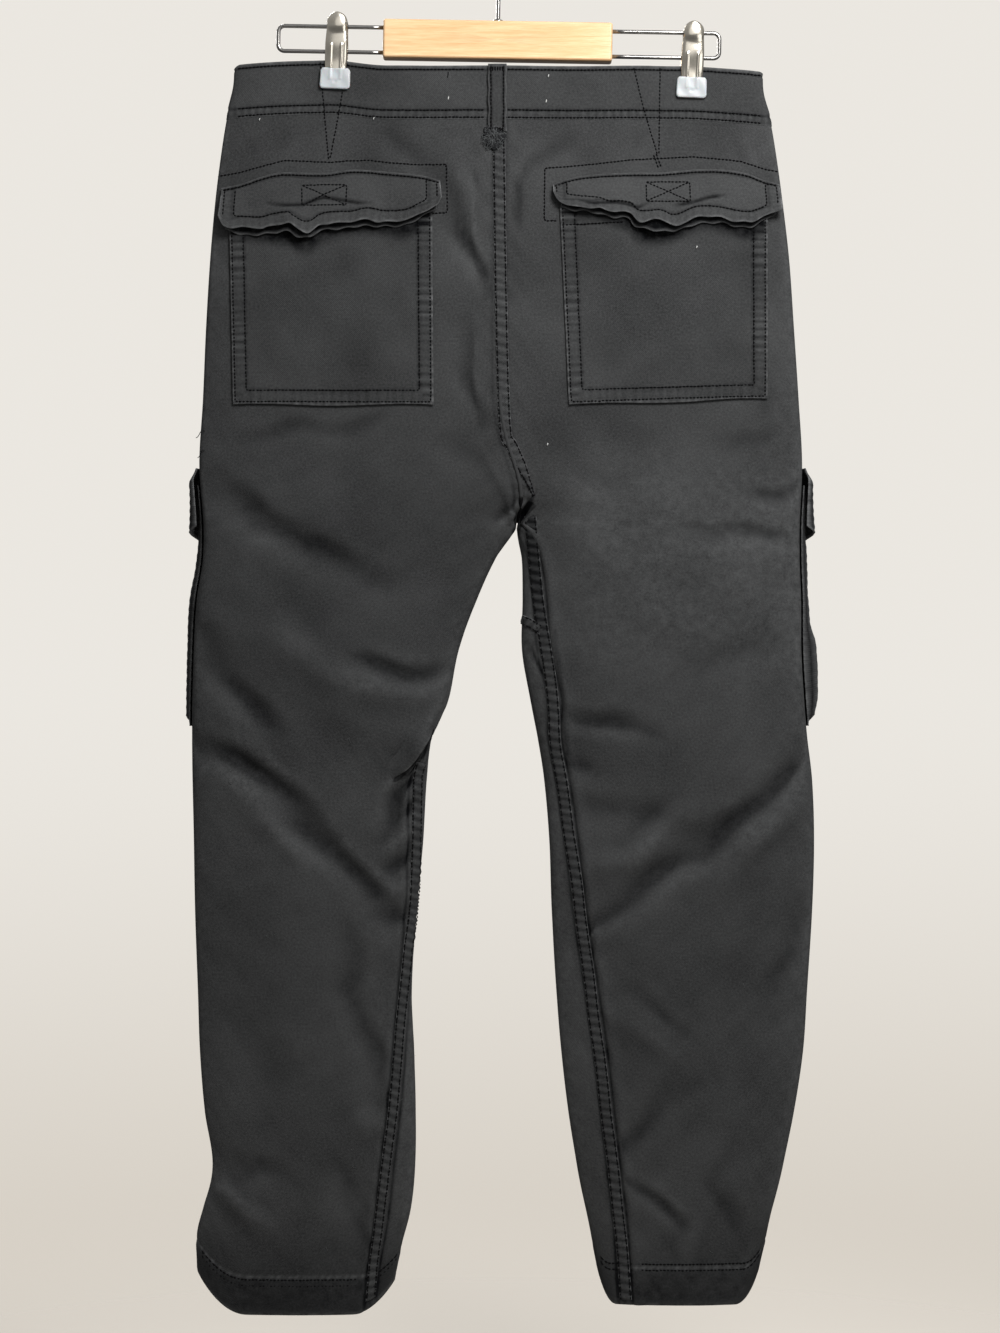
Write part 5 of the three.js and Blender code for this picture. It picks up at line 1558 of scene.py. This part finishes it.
# Loose threads: a frayed bar tack under the loop, label tacks and thread ends
def fibreTuft(name, strands, material):
    parts, faces, count = [], [], 0
    for points, radius in strands:
        p, q = tubeMesh(points, radius, 4)
        parts.append(p)
        faces.append(q + count)
        count += len(p)
    makePiece(name, np.concatenate(parts), np.concatenate(faces), material, "twill")


tuft = {"x": -5, "z": -191.5, "halfWidth": 9.2, "halfHeight": 10.5, "strands": 110}


def makeTuft():
    # a flat knob of matted thread, with loose fibres over it
    r = np.concatenate([np.linspace(0.02, 0.9, 16), [0.95, 0.98, 1]])[:, None]
    a = np.linspace(0, 2 * pi, 61)[None, :]
    edge = 1 + 0.07 * np.sin(3 * a + 0.5) + 0.06 * np.sin(5 * a + 2) + 0.04 * np.sin(11 * a)
    x = tuft["x"] + r * np.cos(a) * edge * tuft["halfWidth"]
    z = tuft["z"] + r * np.sin(a) * edge * tuft["halfHeight"]
    points, normals = facePoint(x, z, "back")
    knots = np.sin(x / 0.75 + np.sin(z / 1.3)) * np.sin(z / 0.8 + np.sin(x / 1.1))
    out = 0.4 + 2.8 * np.sqrt(np.clip(1 - r**4, 0, 1)) + 0.35 * knots * (1 - r**6)
    points = points + normals * out[..., None]
    closed = points[:, :-1].reshape(-1, 3)
    back = closed - normals[:, :-1].reshape(-1, 3) * (out[:, :-1] + 0 * r).reshape(-1, 1) * 0.9
    rows, columns = len(r), 60
    layer = rows * columns
    rim = np.arange(layer - columns, layer)
    turned = np.roll(rim, -1)
    hole = np.arange(columns)
    next1 = np.roll(hole, -1)
    quads = np.concatenate([
        gridQuads(rows, columns, 0, False, True), gridQuads(rows, columns, layer, True, True),
        np.stack([rim, rim + layer, turned + layer, turned], -1),
        np.stack([hole, next1, next1 + layer, hole + layer], -1),
    ])
    makePiece("matted_bar_tack", np.concatenate([closed, back]), quads, "mattedThread", "twill")
    strands = []
    for i in range(tuft["strands"]):
        r, a = math.sqrt(rng.random()), rng.random() * 2 * pi
        x = tuft["x"] + r * math.cos(a) * tuft["halfWidth"]
        z = tuft["z"] + r * math.sin(a) * tuft["halfHeight"]
        turn = rng.random() * pi
        reach = rng.uniform(1.5, 4.0)
        t = np.linspace(-1, 1, 7)
        px = x + t * math.cos(turn) * reach + 0.6 * np.sin(t * 5 + i)
        pz = z + t * math.sin(turn) * reach + 0.6 * np.cos(t * 4 + i)
        p, _ = facePoint(px, pz, "back", 0.9 + 2.4 * (1 - r**3) + 0.7 * rng.random() * (1 - t * t))
        strands.append((p, rng.uniform(0.12, 0.22)))
    fibreTuft("frayed_bar_tack", strands, "frayedThread")


def makeThreadEnds():
    strands = []
    for x, z, reach, high in (
        (-42.6, -158.5, 1.3, 0.75), (40, -140, 1.0, 0.75), (38.2, -161, 1.1, 0.75), (-199, -178.6, 0.8, 0.5),
        (-104.5, -176.4, 0.8, 0.75), (162, -283, 1.0, 2.6), (39, -446, 0.9, 0.6),
    ):
        p, _ = facePoint(np.linspace(x - 0.2, x + 0.3, 6), np.linspace(z - reach, z + reach, 6), "back",
                         high + 0.35 * np.sin(np.linspace(0, pi, 6)))
        strands.append((p, 0.42))
    fibreTuft("label_tacks", strands, "whiteThread")
    dark, _ = facePoint(np.linspace(-43.4, -42.8, 6), np.linspace(-142, -137, 6), "back", 0.8)
    fibreTuft("label_tack_dark", [(dark, 0.55)], "blackThread")
    strands = []
    for z, lean in ((-434, 5), (-450.5, 3.5)):
        t = np.linspace(0, 1, 9)
        p, n = facePoint(-244.5 - 2 * t, z + 0 * t, "back", 0.3)
        p = p + np.stack([-lean * t, -1.5 * t, -5 * t**2 + 1.5 * np.sin(t * 6)], -1)
        strands.append((p, 0.3))
    fibreTuft("thread_ends", strands, "blackThread")
    strands = []
    for i in range(70):
        x, z = rng.uniform(-225, 225), rng.uniform(-1130, -190)
        if z < -505 and -40 < x < 45:
            continue
        turn, reach = rng.random() * pi, rng.uniform(0.8, 2.4)
        t = np.linspace(-1, 1, 5)
        p, _ = facePoint(x + t * math.cos(turn) * reach, z + t * math.sin(turn) * reach + 0.4 * t * t, "back", 0.35)
        strands.append((p, 0.13))
    fibreTuft("lint", strands, "frayedThread")


makeTuft()
makeThreadEnds()
for group in list(sewn):
    finishSewing(group)
print("threads made")


# The hanger: pale wooden bar, plated wires and clips with soft tips
hanger = {
    "tilt": math.radians(1), "wire": 1.7, "barX": 0, "barZ": -110, "barWidth": 190, "barHeight": 32,
    "barThickness": 17, "bevel": 2.2, "loopZ": -110.4, "loopHalf": 10.4, "loopLeft": -182, "loopRight": 184,
    "corner": 5, "hookRadius": 20,
}


def tilted(points, angle=None, about=(0, 0, 0)):
    angle = hanger["tilt"] if angle is None else angle
    c, s = math.cos(angle), math.sin(angle)
    p = np.asarray(points, float)
    x, z = p[..., 0], p[..., 2]
    return np.stack([x * c + z * s, p[..., 1], -x * s + z * c], -1) + np.array(about, float)


def roundedBox(name, size, centre, bevel, material, slot, steps=7):
    # a box with rounded edges, built as a squared-off ball
    w, d, h = np.array(size) / 2
    ring = []
    for k, (sx, sz) in enumerate(((1, 1), (-1, 1), (-1, -1), (1, -1))):
        for a in np.linspace(0, pi / 2, steps) + k * pi / 2:
            ring.append((sx * (w - bevel), sz * (h - bevel), math.cos(a), math.sin(a)))
    ring = np.array(ring)
    rows = []
    for a in np.linspace(-pi / 2, pi / 2, steps * 2):
        y = (d - bevel) * (1 if a > 0 else -1) + bevel * math.sin(a)
        r = bevel * math.cos(a)
        rows.append(np.stack([ring[:, 0] + r * ring[:, 2], np.full(len(ring), y), ring[:, 1] + r * ring[:, 3]], -1))
    inner = rows[0] * [0.5, 1, 0.5]
    last = rows[-1] * [0.5, 1, 0.5]
    grid = np.stack([inner * [0.02, 1, 0.02], inner, *rows, last, last * [0.02, 1, 0.02]])
    n = len(ring)
    caps = []
    for base, flip in ((0, False), ((len(grid) - 1) * n, True)):
        fan = [[base + i, base + i + 1, base + (n - i - 2) % n, base + (n - i - 1) % n]
               for i in range(0, n // 2 - 1)]
        caps += [f[::-1] if flip else f for f in fan]
    quads = np.concatenate([gridQuads(len(grid), n, 0, False, True), np.array(caps)[:, ::-1]])
    return makePiece(name, tilted(grid.reshape(-1, 3) + np.array(centre)), quads, material, slot)


def makeHanger():
    h = hanger
    size = (h["barWidth"], h["barThickness"], h["barHeight"])
    bar = roundedBox("wooden_bar", size, (h["barX"], 0, h["barZ"]), h["bevel"], "paleWood", "wood")
    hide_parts("hanger_bar")
    arc = [math.radians(a) for a in range(-48, 189, 5)]
    centre = h["wire"] - h["hookRadius"]
    hook = [(h["hookRadius"] * math.cos(a), 0, centre + h["hookRadius"] * math.sin(a)) for a in arc]
    top = h["barZ"] + h["barHeight"] / 2
    stem = [(0, 0, top - 3), (0, 0, -78), (0, 0, -66), (0.6, 0, -57), (3, 0, -48), (8, 0, -38.5)]
    path = np.array(stem + hook[1:])
    dense = []
    for i in range(len(path) - 1):
        dense += [path[i] + (path[i + 1] - path[i]) * k / 3 for k in range(3)]
    dense = np.array(dense + [path[-1]])
    for _ in range(6):
        dense[1:-1] = 0.5 * dense[1:-1] + 0.25 * (dense[:-2] + dense[2:])
    wire = tube("hook_wire", tilted(dense), h["wire"], 16, "platedSteel", "steel")
    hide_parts("hanger_hook")
    collar = [(0.05, 0), (4.2, 0), (4.4, 0.6), (4.0, 1.6), (2.6, 2.2), (1.8, 2.4), (0.05, 2.4)]
    lathe("hook_collar", collar, 32, tilted((0, 0, top)), "z", "platedSteel", "steel")
    for side, end in (("left", h["loopLeft"]), ("right", h["loopRight"])):
        away = 1 if end > 0 else -1
        start = h["barX"] + away * (h["barWidth"] / 2 - 2)
        turnX, low = end - away * h["corner"], h["loopHalf"] - h["corner"]
        path = [(start + (turnX - start) * t, 0, h["loopHalf"]) for t in np.linspace(0, 1, 8)]
        path += [(turnX + away * h["corner"] * math.sin(a), 0, low + h["corner"] * math.cos(a))
                 for a in np.linspace(0.2, pi / 2, 7)]
        path += [(end, 0, 0)]
        path += [(x, y, -z) for x, y, z in path[-2::-1]]
        loop = tube(f"wire_loop_{side}", tilted(np.array(path) + [0, 0, h["loopZ"]]), h["wire"], 14,
                    "platedSteel", "steel")
        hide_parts(f"hanger_loop_{side}")


clip = {
    "lean": math.radians(2.4), "tipWidth": 25.4, "tipHeight": 17.4, "springLength": 13,
    "left": (-137, -150.1), "right": (158.3, -157.6),
}


def plate(name, halfAt, outAt, depth, away, place, rows, columns, material, slot):
    # a shaped plate: half its width and how far out its face lies, by height, with a relief on the face
    up = np.array(rows)[:, None]
    u = np.linspace(-1, 1, columns)[None, :]
    u = np.sin(u * pi / 2)
    x = u * halfAt(up)
    face = outAt(x, up, u)
    grid = np.stack([x, away * face, up + 0 * x], -1)
    inner = np.stack([x, away * (face - depth(x, up, u)), up + 0 * x], -1)
    points = place(np.concatenate([grid.reshape(-1, 3), inner.reshape(-1, 3)]))
    return makePiece(name, points, shellQuads(len(up), columns), material, slot)


def rib(x, up, low, high, height):
    return height * bell(np.abs(x), 4.3, 0.85, 4) * rise(low, low + 1.5, up) * (1 - rise(high - 2, high, up))


def makeClip(side):
    c = clip
    footX, footZ = c[side]
    place = lambda p: tilted(p, c["lean"], (footX, 0, footZ))
    top, domeHalf = 63.5, 8.7
    domeRows = top - domeHalf * (1 - np.sin(np.linspace(0.02, 1, 18) * pi / 2))
    bodyRows = np.concatenate([np.linspace(15, 54, 40), domeRows])
    tipRows = 0.05 + (c["tipHeight"] - 0.1) * (0.5 - 0.5 * np.cos(np.linspace(0, pi, 36)))

    def bodyHalf(up):
        straight = 9.2 - 0.7 * rise(35, 52, up) - 0.3 * (1 - rise(17, 27, up))
        past = np.clip(up - (top - domeHalf), 0, None) / (domeHalf + 0.03)
        return straight * np.sqrt(np.clip(1 - past**2, 0.001, 1))

    def bodyOut(x, up, u):
        out = 5.6 + 1.7 * rise(20, 40, up) + 0.6 * (1 - u**2)
        dome = np.sqrt(np.clip(1 - (x / 8.6)**2 - (np.clip(up - 54, -20, None) / 9.6)**2, 0, 1))
        out = out + 1.5 * dome * rise(44, 52, up)
        return out - 1.1 * np.abs(u)**9 + rib(x, up, 16, 38, 0.8)

    def tipHalf(up):
        h, r = c["tipHeight"], 3.2
        fold = np.clip(r - np.minimum(up, h - up), 0, r)
        return c["tipWidth"] / 2 - 0.45 * up / h - (r - np.sqrt(r * r - fold * fold))

    for jaw, away in (("back", -1), ("front", 1)):
        body = plate(f"clip_{side}_{jaw}_plate", bodyHalf, bodyOut, lambda x, up, u: 1.0 + 0 * x, away, place,
                     bodyRows, 40, "clipSteel", "steel")
        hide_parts(f"clip_{side}_{jaw}_jaw")
        low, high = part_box(f"clip_{side}_{jaw}_tip")
        near, far = sorted((abs(low[1]) / mm, abs(high[1]) / mm))

        def tipOut(x, up, u):
            edge = np.minimum((1 - np.abs(u)) * c["tipWidth"] / 2, np.minimum(up, c["tipHeight"] - up))
            soft = np.sqrt(np.clip(1 - (1 - np.clip(edge / 1.3, 0, 1))**2, 0, 1))
            dimple = 0.5 * np.exp(-((x**2 + (up - 6)**2) / 2.2))
            return far - 1.2 * (1 - soft) + rib(x, up, 7, 19, 0.5) - dimple + 0.15 * np.sin(x / 2.1 + up / 3)

        def tipDepth(x, up, u):
            return tipOut(x, up, u) - near

        pad = plate(f"clip_{side}_{jaw}_pad", tipHalf, tipOut, tipDepth, away, place, tipRows, 38,
                    "milkyPlastic", "soft_tip")
        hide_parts(f"clip_{side}_{jaw}_tip")
    low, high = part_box(f"clip_{side}_spring")
    middle = [(a + b) / 2 / mm for a, b in zip(low, high)]
    turns = 7
    t = np.linspace(0, turns * 2 * pi, turns * 18)
    coil = np.stack([middle[0] + (t / t[-1] - 0.5) * (c["springLength"] - 1.8), middle[1] + 3.4 * np.cos(t),
                     middle[2] + 3.4 * np.sin(t)], -1)
    spring = tube(f"clip_{side}_coil", coil, 0.75, 8, "platedSteel", "steel")
    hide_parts(f"clip_{side}_spring")


makeHanger()
makeClip("left")
makeClip("right")
print("hanger made")


# Stage, light and camera
photo = {
    "height": 1333, "scale": 0.83, "topZ": -75.4, "distance": 2.4,
    "floor": -1.32, "wall": (0.83, 0.80, 0.75), "wallLow": (0.66, 0.61, 0.54),
    "roomLow": (0.10, 0.10, 0.10), "roomHigh": (0.40, 0.40, 0.40),
}


def makeStage():
    tree, shader = newMaterial("paleFloor")
    shader.inputs["Base Color"].default_value = (0.85, 0.80, 0.73, 1)
    shader.inputs["Roughness"].default_value = 0.8
    where = addNode(tree, "ShaderNodeTexCoord", (-900, 0))
    far = addNode(tree, "ShaderNodeVectorMath", (-700, 0), operation="LENGTH")
    tree.links.new(where.outputs["Object"], far.inputs[0])
    fade = addNode(tree, "ShaderNodeMapRange", (-500, 0), interpolation_type="SMOOTHSTEP")
    fade.inputs["From Min"].default_value = 0.35
    fade.inputs["From Max"].default_value = 1.5
    fade.inputs["To Min"].default_value = 0.5
    fade.inputs["To Max"].default_value = 0
    tree.links.new(far.outputs["Value"], fade.inputs["Value"])
    tree.links.new(fade.outputs[0], shader.inputs["Alpha"])
    n = 64
    angle = np.linspace(0, 2 * pi, n, endpoint=False)
    rings = np.array([0.01, 300, 700, 1100, 1550])
    flat = [rings[:, None] * np.cos(angle), rings[:, None] * np.sin(angle), 0 * rings[:, None] * angle]
    points = np.stack(flat, -1)
    floor = newMesh("floor", points.reshape(-1, 3), gridQuads(len(rings), n, 0, False, True))
    floor.location = (0, 0, photo["floor"])
    floor.data.materials.append(materials["paleFloor"])
    # the backdrop is a pale wall with painted shade towards its foot, and the room that lights the cloth is
    # brighter above than below
    world = bpy.data.worlds.new("paleRoom")
    bpy.context.scene.world = world
    world.use_nodes = True
    room = world.node_tree
    back = room.nodes["Background"]
    direction = addNode(room, "ShaderNodeTexCoord", (-1000, 0))
    parts = addNode(room, "ShaderNodeSeparateXYZ", (-800, 0))
    room.links.new(direction.outputs["Generated"], parts.inputs[0])
    height = addNode(room, "ShaderNodeMapRange", (-600, 0), interpolation_type="SMOOTHSTEP")
    height.inputs["From Min"].default_value = -0.6
    height.inputs["From Max"].default_value = 0.9
    room.links.new(parts.outputs["Z"], height.inputs["Value"])
    light = mixColour(room, height.outputs[0], photo["roomLow"], photo["roomHigh"], (-400, 0))
    seen = addNode(room, "ShaderNodeLightPath", (-600, 300))
    low = addNode(room, "ShaderNodeMapRange", (-600, -300), interpolation_type="SMOOTHSTEP")
    low.inputs["From Min"].default_value = -0.24
    low.inputs["From Max"].default_value = 0.0
    room.links.new(parts.outputs["Z"], low.inputs["Value"])
    backdrop = mixColour(room, low.outputs[0], photo["wallLow"], photo["wall"], (-400, -300))
    wall = mixColour(room, seen.outputs["Is Camera Ray"], light, backdrop, (-200, 0))
    room.links.new(wall, back.inputs["Color"])
    bpy.context.scene.view_settings.view_transform = "Standard"


def addLight(name, at, towards, size, power):
    light = bpy.data.lights.new(name, "AREA")
    light.shape = "DISK"
    light.size, light.energy = size, power
    obj = bpy.data.objects.new(name, light)
    bpy.context.collection.objects.link(obj)
    obj.location = at
    obj.rotation_euler = (Vector(towards) - Vector(at)).to_track_quat("-Z", "Y").to_euler()


def makeCamera():
    p = photo
    height = p["height"] * p["scale"] * mm
    data = bpy.data.cameras.new("photoCamera")
    data.sensor_fit = "VERTICAL"
    data.sensor_height = 36
    data.lens = 36 * p["distance"] / height
    camera = bpy.data.objects.new("photoCamera", data)
    bpy.context.collection.objects.link(camera)
    camera.location = (0, -p["distance"], p["topZ"] * mm - height / 2)
    camera.rotation_euler = (pi / 2, 0, 0)
    bpy.context.scene.camera = camera


makeStage()
addLight("ceilingLight", (0.42, -0.95, 0.4), (0.05, 0, -0.7), 0.5, 21)
addLight("fillLight", (1.2, -1.6, -0.5), (0, 0, -0.8), 1.2, 5)
addLight("frontSoftBox", (0, -2.5, 0.42), (0, 0, -0.12), 1.1, 1.4)
addLight("rearSoftBox", (-0.6, 1.7, 0.5), (0, 0, -0.7), 0.8, 26)
makeCamera()
print("stage, light and camera made")
